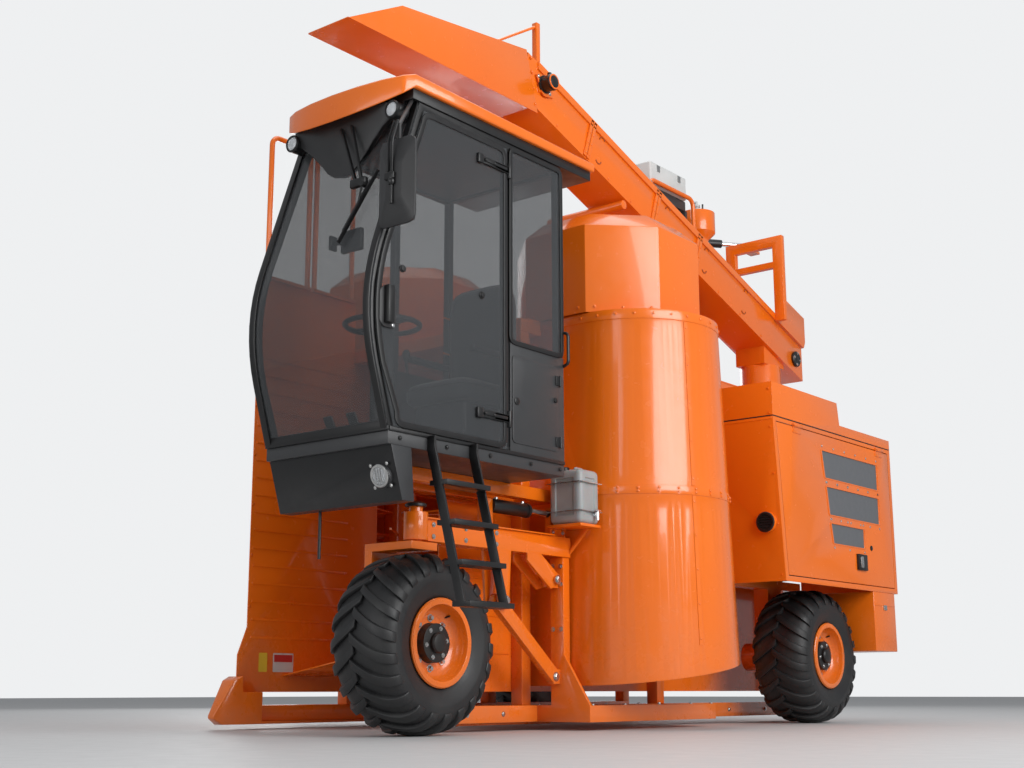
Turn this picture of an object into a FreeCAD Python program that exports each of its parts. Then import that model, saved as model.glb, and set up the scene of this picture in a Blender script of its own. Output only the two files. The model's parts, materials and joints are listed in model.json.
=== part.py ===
"""Self-propelled straddle coffee harvester, as a parametric FreeCAD document.

Frame: millimetres, +Z up, ground at Z 0, front of the machine towards -Y, left side towards +X.
The origin is on the ground under the middle of the machine.
"""
import FreeCAD, Part
import math
import os
import re
import Sketcher

VECTOR = FreeCAD.Vector
ROTATION = FreeCAD.Rotation

doc = FreeCAD.newDocument("coffee_harvester")
sheet = doc.addObject("Spreadsheet::Sheet", "sizes")

SIZES = {
    # tunnel that straddles the coffee row
    "tunnel_half": 650, "wall": 6, "tunnel_bottom": 210, "tunnel_top": 2300,
    "tunnel_rear": 2350, "left_wall_front": -1380, "right_wall_front": -1585,
    "wall_flare": 65, "flare_low": 420, "flare_high": 580, "shield_top": 2700,
    "left_notch_rear": -1080, "left_notch_top": 1255,
    # chassis
    "rail_width": 140, "rail_low": 45, "rail_high": 135, "rail_front_left": -1370,
    "rail_front_right": -1500, "tow_reach": 90, "tow_plate": 20, "tow_hole": 20, "post_side": 80,
    "post_front": -760, "post_middle": 620,
    "top_rail_high": 80, "deck_plate": 10, "deck_front": -700,
    "mount_beam": 70, "mount_apart": 124, "mount_front": -2200,
    # rotors and their housings
    "rotor_row": -45, "rotor_offset": 900, "core_radius": 110, "rod_reach": 470, "rod_radius": 8,
    "rod_rows": 12, "rods_per_row": 10, "rod_low": 500, "rod_pitch": 150, "core_end": 65,
    "shaft_end": 60, "shaft_radius": 40, "shaft_gap": 0.3, "shaft_room": 8,
    "housing_centre": 1050,
    "housing_low_radius": 590, "housing_top_radius": 520, "housing_low": 240, "housing_rise": 170,
    "housing_wall": 5, "housing_lid": 8, "band": 4, "seam_low": 1300, "seam_wide": 50, "rim_band": 60,
     "window_half": 480, "window_low": 430, "window_top": 2270,
    "cover_radius": 540, "cover_side_top": 2930, "cover_top": 3040,
    "cover_chamfer": 120, "cover_wall": 5, "cover_centre": 860,
    # catcher plates and dividers
    "catcher_gap": 110, "catcher_inner": 390, "catcher_outer": 300, "catcher_plate": 8,
    "catcher_front": -1300, "catcher_rear": 2250,
    "shoe_plate": 15, "shoe_width": 130, "shoe_length": 900, "bill_tip": 175, "bill_half": 25,
    "bill_top": 300, "bill_rise": 35,
    # wheels
    "tyre_radius": 442, "tyre_width": 400, "rim_radius": 197, "flange_radius": 213, "rim_half": 190,
    "flange_plate": 12, "rim_wall": 12,
    "rim_disc": 90, "hub_end": 150, "hub_start": 60, "axle_end_gap": 5, "leg_gap": 12,
    "front_axle": -1895, "wheelbase": 3660, "front_track": 960, "rear_track": 1190,
    "bead_gap": 0.3, "hub_radius": 95, "axle_radius": 40, "tyre_sides": 36, "lugs": 18,
    "lug_high": 38, "lug_ahead": 62, "lug_bend": 10, "lug_behind": 30, "lug_width": 40, "lug_past": 12,
    # front suspension
    "crown_low": 900, "crown_high": 940, "arm_low": 950, "arm_high": 1060, "arm_width": 110,
    "king_pin_radius": 35, "king_barrel_radius": 62, "king_gap": 0.3, "king_top": 1120,
    "king_inset": 20, "knuckle_leg": 50,
    "mast_front": -700, "mast_rear": -640, "mast_width": 90, "mast_flare": 175, "flare_top": 410,
    "sill": 20, "sill_rear": 620, "lug_pin_y": -784, "lug_pin_z": 818, "lug_reach": 250,
    "link_low_z": 290, "link_high_y": -1235, "link_high_z": 682,
    "level_axis": 1190, "level_front": -1330, "level_rear": -740, "barrel_radius": 38,
    "rod_bar_radius": 20, "pin_radius": 22, "ear": 40, "ear_rise": 120, "fork_plate": 16,
    "shelf_plate": 16,
    # rear legs
    "leg_side": 110, "motor_out": 120, "bearer": 60,
    # cab
    "cab_left": 1300, "cab_right": 465, "cab_rear": -1100, "cab_floor_low": 1330, "cab_floor": 1400,
    "nose_y": -2640, "nose_z": 1990, "shield_low_y": -2458, "shield_top_y": -2276,
    "glass": 6, "pillar": 40, "door_rear": -1600, "door_gap": 6, "panel_low_y": -2356,
    "panel_low_z": 1077, "roof_low": 3075, "roof_rise": 125, "roof_front": -2480, "roof_rear": -815,
    "roof_out": 30, "roof_bow": 150, "roof_pan": 55, "brow_drop": 75, "nose_steps": 8,
    "lamp_port_x": 1209, "lamp_port_z": 1192, "lamp_port_radius": 58, "lamp_port_deep": 18,
    "side_window_low": 1985, "handle_z": 1980, "handle_half": 90,
    "handle_in": 120, "hinge_plate": 12, "hinge_length": 110, "hinge_room": 34,
    "hinge_radius": 10, "hinge_pin": 5, "hinge_lug": 12, "hinge_run": 0.5, "hinge_low_z": 1569,
    "hinge_high_z": 2911,
    "seat_half": 240, "seat_rear": -1230, "seat_deep": 480, "seat_low": 1740, "seat_pad": 110,
    "seat_top": 2420, "column_y": -2080, "column_top": 2020, "helm_radius": 190,
    # engine hood and the bodies at the rear
    "hood_left": 1500, "hood_front": 873, "hood_front_low": 960,
    "hood_rear": 2640, "hood_low": 890, "hood_seam": 1913, "hood_step": 2010, "hood_top": 2165,
    "hood_raised_rear": 1805, "hood_step_rear": 1832, "hood_wall": 6, "hood_door_low": 930,
    "door_margin": 45, "hinge_drop": 8, "hinge_inset": 260,
    "engine_front": 1150, "engine_length": 1000, "engine_inner": 880, "engine_width": 450,
    "engine_low": 960, "engine_height": 780, "box_low": 480, "box_front": 2235, "box_rear": 2580,
    "box_inner": 1100,
    "grille_bar": 6, "grille_pitch": 26, "grille_deep": 4, "latch_y": 1992, "latch_wide": 137,
    "latch_z": 1024, "latch_high": 109, "latch_deep": 18, "vent_x": 1403, "vent_y": 928, "vent_z": 1262,
    "vent_radius": 66, "vent_deep": 28,
    # cooler and fan on the deck
    "cooler_inner": 280, "cooler_width": 200, "cooler_front": 1065, "cooler_length": 510,
    "cooler_top": 3810, "cooler_box": 180, "cooler_rim": 5, "guard_radius": 17,
    "guard_room": 40, "guard_bend": 60,
    "fan_x": 400, "fan_y": 1850, "fan_radius": 135, "fan_low": 3640, "fan_top": 3800, "fan_cup": 55,
    "fan_wall": 4, "fan_neck": 80, "fan_shaft": 12,
    "fan_blade_low": 3700, "fan_blade_high": 60, "fan_blades": 6, "fan_tip_gap": 8,
    # elevator
    "boom_near": 850, "boom_width": 300, "boom_depth": 293, "boom_lip": 12, "lip_deep": 50,
    "boom_head_y": -825, "boom_head_z": 4020, "boom_tail_y": 2595, "boom_tail_z": 2856, "boom_wall": 5,
    "spout_front_y": -2345, "spout_low": 3650, "spout_top_front_y": -1940, "spout_top_front_z": 3878,
    "spout_rear_low_y": -738, "spout_rear_top_y": -844, "spout_rear_top_z": 4028,
    "mast_post_y": -550, "mast_post_high": 434, "stay_half": 18,
    "stay_radius": 9, "stay_foot_y": -1060, "spout_wall": 5,
    "slew_x": 700, "slew_y": 2200, "slew_radius": 150, "foot_low": 2600, "foot_plate": 20,
    "slew_pin": 120,
    "bearing_gap": 0.3, "yoke_y": 2190, "yoke_deep": 45, "gusset": 12, "gusset_top": 3130,
    "motor_y": -683, "motor_z": 3850, "motor_radius": 48, "motor_long": 95, "motor_plate": 12,
    "slew_lift": 45, "slew_eye_gap": 17, "slew_eye_pin": 11,
    "slew_rod_inside": 20, "yoke_side": 80, "yoke_top": 3605, "yoke_low": 2940,
    "slew_barrel_x": 230, "slew_barrel_y": 1980, "slew_eye_x": 560, "slew_eye_y": 2415,
    "slew_barrel_radius": 32, "slew_barrel_length": 250, "slew_rod_radius": 18,
    "rest_y": 185, "rest_radius": 30, "rest_post_x": 250, "rest_gap": 8,
    # ladder, tank, mirror, rails
    "ladder_top_z": 1350, "ladder_low_z": 590, "ladder_top_x": 1325, "ladder_low_x": 1520,
    "ladder_front": -2190, "ladder_width": 320, "ladder_rail": 40, "ladder_step": 110,
    "ladder_steps": 4, "ladder_plate": 12, "ladder_tread": 24,
    "tank_front": -820, "tank_length": 190, "tank_out": 35, "tank_width": 225,
    "tank_low": 1120, "tank_height": 310,
    "rail_tube": 17, "rail_head": 3640, "rail_loop": 330, "rail_in": 60, "rail_foot": 20,
    "mirror_x": 1400, "mirror_width": 180, "mirror_y": -2500, "mirror_deep": 40, "mirror_low": 2360,
    "mirror_top": 2770, "mirror_arm": 10, "lamp_in": 60, "lamp_y": -2400, "lamp_z": 3010,
    "lamp_radius": 45, "lamp_deep": 70,
}

for row, (alias, value) in enumerate(SIZES.items(), start=1):
    sheet.set(f"A{row}", alias)
    sheet.set(f"B{row}", str(value))
    sheet.setAlias(f"B{row}", alias)
doc.recompute()

WALL_OUT = "(tunnel_half + wall)"
FRAME_OUT = f"({WALL_OUT} + post_side)"
DECK_LOW = "(tunnel_top + top_rail_high)"
DECK_TOP = f"({DECK_LOW} + deck_plate)"
ROOF_TOP = "(roof_low + roof_rise)"

NAMES = re.compile(r"\b(" + "|".join(sorted(SIZES, key=len, reverse=True)) + r")\b")


def formula(text):
    """An expression for FreeCAD, from a formula in the sheet's own words."""
    return NAMES.sub(r"sizes.\1", str(text))


def size(text):
    """The value, in millimetres, of a formula in the sheet's words."""
    return float(sheet.evalExpression(NAMES.sub(r"\1", str(text))))


def bind(item, name, text):
    """Tie one property of an object to a formula in the sheet's words."""
    item.setExpression(name, formula(text))


# ---- building blocks ---------------------------------------------------------------------------

NODES = []
PLANES = {"XY": ("XY_Plane", 1), "XZ": ("XZ_Plane", -1), "YZ": ("YZ_Plane", 1)}
TURNS = {"X": ROTATION(VECTOR(0, 1, 0), 90), "Y": ROTATION(VECTOR(1, 0, 0), -90), "Z": ROTATION()}


def plate(plane, points, low, high):
    """A pad of one closed outline drawn on a plane, from low to high along the plane's axis."""
    body = doc.addObject("PartDesign::Body", "plate")
    sketch = body.newObject("Sketcher::SketchObject", "outline")
    role, sign = PLANES[plane]
    base = [item for item in body.Origin.OriginFeatures if item.Role == role][0]
    sketch.AttachmentSupport = (base, [""])
    sketch.MapMode = "FlatFace"
    bind(sketch, "AttachmentOffset.Base.z", low if sign > 0 else f"-({high})")
    spots = [VECTOR(size(across), size(along), 0) for across, along in points]
    for index, spot in enumerate(spots):
        sketch.addGeometry(Part.LineSegment(spot, spots[(index + 1) % len(spots)]))
    for index, (across, along) in enumerate(points):
        sketch.addConstraint(Sketcher.Constraint("Coincident", index, 2, (index + 1) % len(points), 1))
        for kind, text in (("DistanceX", across), ("DistanceY", along)):
            number = sketch.addConstraint(Sketcher.Constraint(kind, -1, 1, index, 1, size(text)))
            bind(sketch, f"Constraints[{number}]", text)
    pad = body.newObject("PartDesign::Pad", "pad")
    pad.Profile = sketch
    bind(pad, "Length", f"({high}) - ({low})")
    return body


def box(x, y, z):
    """A box between the low and high values of each axis."""
    item = doc.addObject("Part::Box", "box")
    for name, axis, (low, high) in (("Length", "x", x), ("Width", "y", y), ("Height", "z", z)):
        bind(item, name, f"({high}) - ({low})")
        bind(item, f"Placement.Base.{axis}", low)
    return item


def round_bar(axis, at, radius, length):
    """A cylinder along X, Y or Z that starts at a point."""
    item = doc.addObject("Part::Cylinder", "round_bar")
    item.Placement = FreeCAD.Placement(VECTOR(), TURNS[axis])
    for name, text in zip("xyz", at):
        bind(item, f"Placement.Base.{name}", text)
    bind(item, "Radius", radius)
    bind(item, "Height", length)
    return item


def place(point):
    """A point whose three formulas are read from the sheet."""
    return VECTOR(*(size(text) for text in point))


def solid(shape):
    """A document object that holds a shape made with Part's own functions."""
    item = doc.addObject("Part::Feature", "solid")
    item.Shape = shape
    return item


def strut(start, end, radius):
    """A round bar between two points."""
    start, end = place(start), place(end)
    return solid(Part.makeCylinder(size(radius), start.distanceToPoint(end), start, end - start))


def tube_path(points, radius, bend):
    """A round tube along straight runs whose corners are arcs of one bend radius."""
    spots = [place(point) for point in points]
    edges = []
    last = spots[0]
    for before, corner, after in zip(spots, spots[1:], spots[2:]):
        back, ahead = (before - corner).normalize(), (after - corner).normalize()
        half = back.getAngle(ahead) / 2
        reach = bend / math.tan(half)
        start, end = corner + back * reach, corner + ahead * reach
        middle = corner + (back + ahead).normalize() * (bend / math.sin(half) - bend)
        edges += [Part.LineSegment(last, start).toShape(), Part.Arc(start, middle, end).toShape()]
        last = end
    edges.append(Part.LineSegment(last, spots[-1]).toShape())
    circle = Part.Wire([Part.makeCircle(radius, spots[0], spots[1] - spots[0])])
    return solid(Part.Wire(edges).makePipeShell([circle], True, False, 2))


def join(items):
    """One solid from pieces that meet."""
    item = doc.addObject("Part::MultiFuse", "join")
    item.Shapes = items
    item.Refine = True
    return item


def cut(base, tools):
    """What is left of a piece when the tools are taken out of it."""
    item = doc.addObject("Part::Cut", "cut")
    item.Base = base
    item.Tool = tools[0] if len(tools) == 1 else join(tools)
    item.Refine = True
    return item


def common(items):
    """What pieces share."""
    item = doc.addObject("Part::MultiCommon", "common")
    item.Shapes = items
    return item


def group(items):
    """Separate like solids that share one node."""
    item = doc.addObject("Part::Compound", "group")
    item.Links = items
    return item


def mirror(source):
    """The same piece on the other side of the machine's middle plane."""
    item = doc.addObject("Part::Mirroring", "mirror")
    item.Source = source
    item.Normal = VECTOR(1, 0, 0)
    return item


def turned(source, axis, angle, about=(0, 0, 0)):
    """A copy of a piece's shape, turned about an axis through a point."""
    doc.recompute()
    shape = source.Shape.copy()
    shape.rotate(place(about), axis, angle)
    return solid(shape)


def node(name, item):
    """Name a finished sub-part: its label is its file's name."""
    item.Label = name
    NODES.append(item)
    return item


# ---- chassis -----------------------------------------------------------------------------------

def lower_rails():
    """The box rails along the foot of each tunnel wall, each with a towing eye at the rear."""
    outer = f"({WALL_OUT} + rail_width)"
    middle, rear = f"({WALL_OUT} + rail_width/2)", "(tunnel_rear + tow_reach)"
    level = ("rail_low", "rail_high")
    lug = box((f"{middle} - tow_plate/2", f"{middle} + tow_plate/2"), ("tunnel_rear", rear), level)
    hole = round_bar("X", (f"{middle} - tow_plate", f"{rear} - tow_reach/2", "(rail_low + rail_high)/2"),
                     "tow_hole", "2*tow_plate")
    eye = cut(lug, [hole])
    left = box((WALL_OUT, outer), ("rail_front_left", "tunnel_rear"), level)
    right = box((f"-{outer}", f"-{WALL_OUT}"), ("rail_front_right", "tunnel_rear"), level)
    return node("lower_rails", group([join([left, eye]), join([right, mirror(eye)])]))


def frame_posts():
    """Three uprights on each side, from the lower rails to the top frame."""
    posts = []
    for front in ("post_front", "post_middle", "tunnel_rear - post_side"):
        left = box((WALL_OUT, FRAME_OUT), (front, f"{front} + post_side"), ("rail_high", "tunnel_top"))
        posts += [left, mirror(left)]
    return node("frame_posts", group(posts))


def top_frame():
    """Rails along the top of the tunnel, tied across by three beams."""
    top = ("tunnel_top", DECK_LOW)
    rail = box((WALL_OUT, FRAME_OUT), ("post_front", "tunnel_rear"), top)
    pieces = [rail, mirror(rail)]
    for front in ("post_front", "post_middle", "tunnel_rear - post_side"):
        pieces.append(box((f"-{WALL_OUT}", WALL_OUT), (front, f"{front} + post_side"), top))
    return node("top_frame", join(pieces))


def rotor_window(low, high):
    """The opening that the rods reach through."""
    return box((low, high), ("rotor_row - window_half", "rotor_row + window_half"),
               ("window_low", "window_top"))


def tunnel_walls():
    """Sheet walls; the right one goes on forwards and upwards as the driver's shield."""
    left = plate("YZ", [("left_wall_front", "tunnel_bottom"), ("tunnel_rear", "tunnel_bottom"),
                        ("tunnel_rear", "tunnel_top"), ("left_notch_rear", "tunnel_top"),
                        ("left_notch_rear", "left_notch_top"), ("left_wall_front", "left_notch_top")],
                 "tunnel_half", "tunnel_half + wall")
    right = plate("YZ", [("right_wall_front - wall_flare", "tunnel_bottom"), ("tunnel_rear", "tunnel_bottom"),
                         ("tunnel_rear", "tunnel_top"), ("post_front", "tunnel_top"),
                         ("post_front", "shield_top"), ("right_wall_front", "shield_top"),
                         ("right_wall_front", "flare_high"), ("right_wall_front - wall_flare", "flare_low")],
                  f"-{WALL_OUT}", "-tunnel_half")
    left = cut(left, [rotor_window("tunnel_half - wall", "tunnel_half + 2*wall")])
    right = cut(right, [rotor_window("-(tunnel_half + 2*wall)", "-(tunnel_half - wall)")])
    return node("tunnel_walls", group([left, right]))


def crop_divider(side, edge, rail_front):
    """A duck-bill in front of one tunnel wall, on a shoe that runs back under the rail."""
    middle = f"{side}*(tunnel_half + wall/2)"
    half = "shoe_width/2"
    sole = "(rail_low - shoe_plate)"
    profile = [(f"{edge} - bill_tip", f"{sole} + bill_rise"), (f"{edge} - bill_tip", "rail_low + bill_rise"),
               (f"{edge} - bill_tip/3", "bill_top - bill_half"), (edge, "bill_top"),
               (edge, "tunnel_bottom"), (rail_front, "tunnel_bottom"), (rail_front, "rail_low"),
               (f"{rail_front} + shoe_length", "rail_low"), (f"{rail_front} + shoe_length", sole),
               (f"{edge} - bill_tip*2/3", sole)]
    plan = [(f"{middle} - {half}", edge), (f"{middle} - bill_half", f"{edge} - bill_tip"),
            (f"{middle} + bill_half", f"{edge} - bill_tip"), (f"{middle} + {half}", edge),
            (f"{middle} + {half}", f"{rail_front} + shoe_length"),
            (f"{middle} - {half}", f"{rail_front} + shoe_length")]
    return common([plate("YZ", profile, f"{middle} - {half}", f"{middle} + {half}"),
                   plate("XY", plan, sole, "bill_top")])


def crop_dividers():
    """The pointed bills that part the branches at the mouth of the tunnel."""
    right_edge = "(right_wall_front - wall_flare)"
    return node("crop_dividers", group([crop_divider(1, "left_wall_front", "rail_front_left"),
                                        crop_divider(-1, right_edge, "rail_front_right")]))


def catcher_plates():
    """Sloping plates that close the bottom of the tunnel around the trunks."""
    outline = [("tunnel_half", "catcher_outer"), ("tunnel_half", "catcher_outer + catcher_plate"),
               ("catcher_gap", "catcher_inner + catcher_plate"), ("catcher_gap", "catcher_inner")]
    left = plate("XZ", outline, "catcher_front", "catcher_rear")
    return node("catcher_plates", group([left, mirror(left)]))


# ---- rotors ------------------------------------------------------------------------------------

def housing_section(radius, inner, height):
    """The U of a housing at one height: a half circle whose ends run straight to the tunnel wall."""
    centre, row = size("housing_centre"), size("rotor_row")
    front, rear = VECTOR(inner, row - radius, height), VECTOR(inner, row + radius, height)
    start, end = VECTOR(centre, row - radius, height), VECTOR(centre, row + radius, height)
    crown = VECTOR(centre + radius, row, height)
    return Part.Wire([Part.LineSegment(front, start).toShape(), Part.Arc(start, crown, end).toShape(),
                      Part.LineSegment(end, rear).toShape(), Part.LineSegment(rear, front).toShape()])


def rotor_housing():
    """A tapered half drum, hollow and open towards the tunnel, with a lid that the shaft passes."""
    low, top = size("housing_low"), size(DECK_TOP)
    wide, narrow, wall = size("housing_low_radius"), size("housing_top_radius"), size("housing_wall")
    inner = size("tunnel_half + wall")
    outside = Part.makeLoft([housing_section(wide, inner, low), housing_section(narrow, inner, top)], True)
    inside = Part.makeLoft([housing_section(wide - wall, inner - wall, low),
                            housing_section(narrow - wall, inner - wall, top)], True)
    shell = outside.cut(inside)
    proud = Part.makeLoft([housing_section(wide + size("band"), inner, low),
                           housing_section(narrow + size("band"), inner, top)], True)
    bands = [proud.common(Part.makeBox(2 * wide + inner, 4 * wide, high,
                                       VECTOR(inner, size("rotor_row") - 2 * wide, start))).cut(outside)
             for start, high in ((size("seam_low"), size("seam_wide")),
                                 (top - size("rim_band"), size("rim_band")))]
    lid_low = top - size("housing_lid")
    lid = outside.common(Part.makeBox(2 * wide + inner, 4 * wide, top - lid_low,
                                      VECTOR(inner, size("rotor_row") - 2 * wide, lid_low)))
    bore = Part.makeCylinder(size("shaft_radius + shaft_gap"), 4 * (top - lid_low),
                             VECTOR(size("rotor_offset"), size("rotor_row"), lid_low - top + lid_low))
    notch = Part.makeBox(size(FRAME_OUT) - inner, 4 * wide, top,
                         VECTOR(inner, size("rotor_row") - 2 * wide, size("tunnel_top")))
    ends = (size("rotor_row") - 1.5 * wide, size("rotor_row") + 1.5 * wide)
    rise = 1.5 * size("housing_rise")
    foot = [VECTOR(inner, ends[0], low - rise), VECTOR(inner, ends[1], low - rise),
            VECTOR(inner, ends[1], low + rise * 5 / 6), VECTOR(inner, ends[0], low - rise / 6)]
    foot = Part.Face(Part.makePolygon(foot + foot[:1])).extrude(VECTOR(4 * wide, 0, 0))
    return shell.fuse([lid] + bands).cut([bore, notch, foot]).removeSplitter()


def rotor_housings():
    left = solid(rotor_housing())
    return node("rotor_housings", group([left, mirror(left)]))


def rotor_slice(row):
    """One row of rods round its length of the core, every other row turned by half a step."""
    rods = int(size("rods_per_row"))
    pitch, radius, reach = size("rod_pitch"), size("rod_radius"), size("rod_reach")
    core = Part.makeCylinder(size("core_radius"), pitch, VECTOR(0, 0, -pitch / 2))
    arms = []
    for index in range(rods):
        angle = 2 * math.pi * (index + 0.5 * (row % 2)) / rods
        arms.append(Part.makeCylinder(radius, reach, VECTOR(), VECTOR(math.cos(angle), math.sin(angle), 0)))
    return core.fuse(arms)


def rotors():
    """Vertical cores with rows of straight rods, on shafts that go up through the housings' lids."""
    start, pitch, rows = size("rod_low"), size("rod_pitch"), int(size("rod_rows"))
    last = start + (rows - 0.5) * pitch
    high = last + size("core_end")
    shaft_long = size(f"{DECK_TOP} + shaft_end") - high
    pieces = [Part.makeCylinder(size("core_radius"), high - last, VECTOR(0, 0, last)),
              Part.makeCylinder(size("shaft_radius"), shaft_long, VECTOR(0, 0, high))]
    slices = (rotor_slice(0), rotor_slice(1))
    for row in range(rows):
        piece = slices[row % 2].copy()
        piece.translate(VECTOR(0, 0, start + row * pitch))
        pieces.append(piece)
    shape = pieces[0].fuse(pieces[1:]).removeSplitter()
    shape.translate(place(("rotor_offset", "rotor_row", "0")))
    left = node("rotor_left", solid(shape))
    node("rotor_right", mirror(left))


def octagon(radius):
    """The corners of an octagon round a cover's middle, flats facing the machine's axes."""
    corner = radius * math.tan(math.pi / 8)
    middle, row = size("cover_centre"), size("rotor_row")
    steps = [(radius, -corner), (radius, corner), (corner, radius), (-corner, radius),
             (-radius, corner), (-radius, -corner), (-corner, -radius), (corner, -radius)]
    return [(middle + across, row + along) for across, along in steps]


def faceted(radius, top_radius, low, side_top, top):
    """An eight-sided block whose top edge is chamfered all round."""
    def ring(reach, height):
        spots = [VECTOR(across, along, height) for across, along in octagon(reach)]
        return Part.makePolygon(spots + spots[:1])
    block = Part.Face(ring(radius, low)).extrude(VECTOR(0, 0, side_top - low))
    crown = Part.makeLoft([ring(radius, side_top), ring(top_radius, top)], True, True)
    return block.fuse(crown).removeSplitter()


def rotor_covers():
    """Hollow eight-sided covers over the rotor drives, seated on the deck."""
    wall = size("cover_wall")
    outer = faceted(size("cover_radius"), size("cover_radius - cover_chamfer"), size(DECK_TOP),
                    size("cover_side_top"), size("cover_top"))
    inner = faceted(size("cover_radius") - wall, size("cover_radius - cover_chamfer") - wall,
                    size(DECK_TOP) - wall, size("cover_side_top") - wall, size("cover_top") - wall)
    left = solid(outer.cut(inner))
    return node("rotor_drive_covers", group([left, mirror(left)]))


def top_deck():
    """The plate over the tunnel and the housings, with a hole for each rotor shaft."""
    deck_low = "tunnel_top + top_rail_high"
    deck = box((f"-{FRAME_OUT}", FRAME_OUT), ("deck_front", "tunnel_rear"), (deck_low, DECK_TOP))
    holes = [round_bar("Z", (f"{side}*rotor_offset", "rotor_row", "tunnel_top"),
                       "shaft_radius + shaft_room", DECK_TOP) for side in (1, -1)]
    return node("top_deck", cut(deck, holes))


# ---- wheels ------------------------------------------------------------------------------------

def revolved(points, centre):
    """A body turned about its own X axis: points are (along the axis, radius)."""
    body = doc.addObject("PartDesign::Body", "revolved")
    sketch = body.newObject("Sketcher::SketchObject", "profile")
    base = [item for item in body.Origin.OriginFeatures if item.Role == "XY_Plane"][0]
    sketch.AttachmentSupport = (base, [""])
    sketch.MapMode = "FlatFace"
    spots = [VECTOR(size(along), size(radius), 0) for along, radius in points]
    for index, spot in enumerate(spots):
        sketch.addGeometry(Part.LineSegment(spot, spots[(index + 1) % len(spots)]))
    for index, (along, radius) in enumerate(points):
        sketch.addConstraint(Sketcher.Constraint("Coincident", index, 2, (index + 1) % len(points), 1))
        for kind, text in (("DistanceX", along), ("DistanceY", radius)):
            number = sketch.addConstraint(Sketcher.Constraint(kind, -1, 1, index, 1, size(text)))
            bind(sketch, f"Constraints[{number}]", text)
    turn = body.newObject("PartDesign::Revolution", "turn")
    turn.Profile = sketch
    turn.ReferenceAxis = (sketch, ["H_Axis"])
    turn.Angle = 360
    for name, text in zip("xyz", centre):
        bind(body, f"Placement.Base.{name}", text)
    return body


def carcass():
    """The tyre's body as flat facets round the X axis, its bead seat drawn round the rim."""
    half = "tyre_width/2"
    crown = "(tyre_radius - lug_high)"
    bead = "(rim_half - flange_plate - bead_gap)"
    sides = int(size("tyre_sides"))
    seat = size("rim_radius + bead_gap") / math.cos(math.pi / sides)
    wall = [(size(along), size(radius)) for along, radius in (
        (bead, "flange_radius + 12"), (half, "tyre_radius*0.70"), (f"{half}*0.99", f"{crown}*0.90"),
        (f"{half}*0.80", crown))]
    outline = [(-size(bead), seat)] + [(-along, radius) for along, radius in wall]
    outline += wall[::-1] + [(size(bead), seat)]

    def spot(along, radius, step):
        angle = 2 * math.pi * step / sides
        return VECTOR(along, radius * math.cos(angle), radius * math.sin(angle))
    faces = []
    for step in range(sides):
        for (low, inner), (high, outer) in zip(outline, outline[1:] + outline[:1]):
            corners = [spot(low, inner, step + 1), spot(high, outer, step + 1),
                       spot(high, outer, step), spot(low, inner, step)]
            faces.append(Part.Face(Part.makePolygon(corners + corners[:1])))
    return Part.Solid(Part.Shell(faces))


def tyre_lug(side):
    """One bent lug of the tread at the foot of the tyre, as a flat-topped bar across half the crown."""
    half, wide = size("tyre_width/2"), size("lug_width/2")
    line = [(-size("lug_past"), size("lug_ahead")), (half * 0.45, size("lug_bend")),
            (half * 0.98, -size("lug_behind"))]
    reach = size("lug_ahead") + wide
    foot = math.sqrt(size("tyre_radius") ** 2 - reach ** 2)
    corners = [(along, ahead + wide) for along, ahead in line]
    corners += [(along, ahead - wide) for along, ahead in reversed(line)]
    spots = [VECTOR(side * along, ahead, -foot) for along, ahead in corners]
    return Part.Face(Part.makePolygon(spots + spots[:1])).extrude(VECTOR(0, 0, 2 * size("lug_high")))


def tyre_shape():
    """Carcass and chevrons of lugs, the two sides half a step apart."""
    lugs = []
    count = int(size("lugs"))
    for side, start in ((1, 0), (-1, 0.5)):
        for index in range(count):
            lug = tyre_lug(side)
            lug.rotate(VECTOR(), VECTOR(1, 0, 0), 360 * (index + start) / count)
            lugs.append(lug)
    return carcass().fuse(lugs)


def tyre(name, side, x, y, shape):
    item = solid(shape.copy())
    item.Placement.Base = place((f"{side}*({x})", y, "tyre_radius"))
    return node(name, item)


def rim(name, side, x, y):
    edge, bead = f"{side}*rim_half", f"{side}*(rim_half - flange_plate)"
    inner = "(rim_radius - rim_wall)"
    bore = "(axle_radius + king_gap)"
    disc, hub_end, hub_start = f"{side}*rim_disc", f"{side}*hub_end", f"-({side}*hub_start)"
    outline = [(f"-({edge})", "flange_radius"), (f"-({bead})", "flange_radius"),
               (f"-({bead})", "rim_radius"), (bead, "rim_radius"), (bead, "flange_radius"),
               (edge, "flange_radius"), (edge, inner),
               (f"{disc} + {side}*rim_wall", inner), (f"{disc} + {side}*rim_wall", "hub_radius"),
               (hub_end, "hub_radius"), (hub_end, "0"), (disc, "0"), (disc, bore), (hub_start, bore),
               (hub_start, "hub_radius"), (disc, "hub_radius"), (disc, inner), (f"-({edge})", inner)]
    return node(name, revolved(outline, (f"{side}*({x})", y, "tyre_radius")))


REAR_AXLE = "(front_axle + wheelbase)"
SUSPENSION_X = "(front_track - king_inset)"
TANK_INNER = f"({SUSPENSION_X} + tank_out)"


def wheels():
    shape = tyre_shape()
    for place_name, side, x, y in (("front", 1, "front_track", "front_axle"),
                                   ("rear_left", 1, "rear_track", REAR_AXLE),
                                   ("rear_right", -1, "rear_track", REAR_AXLE)):
        tyre(f"{place_name}_tyre", side, x, y, shape)
        rim(f"{place_name}_rim", side, x, y)


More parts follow.
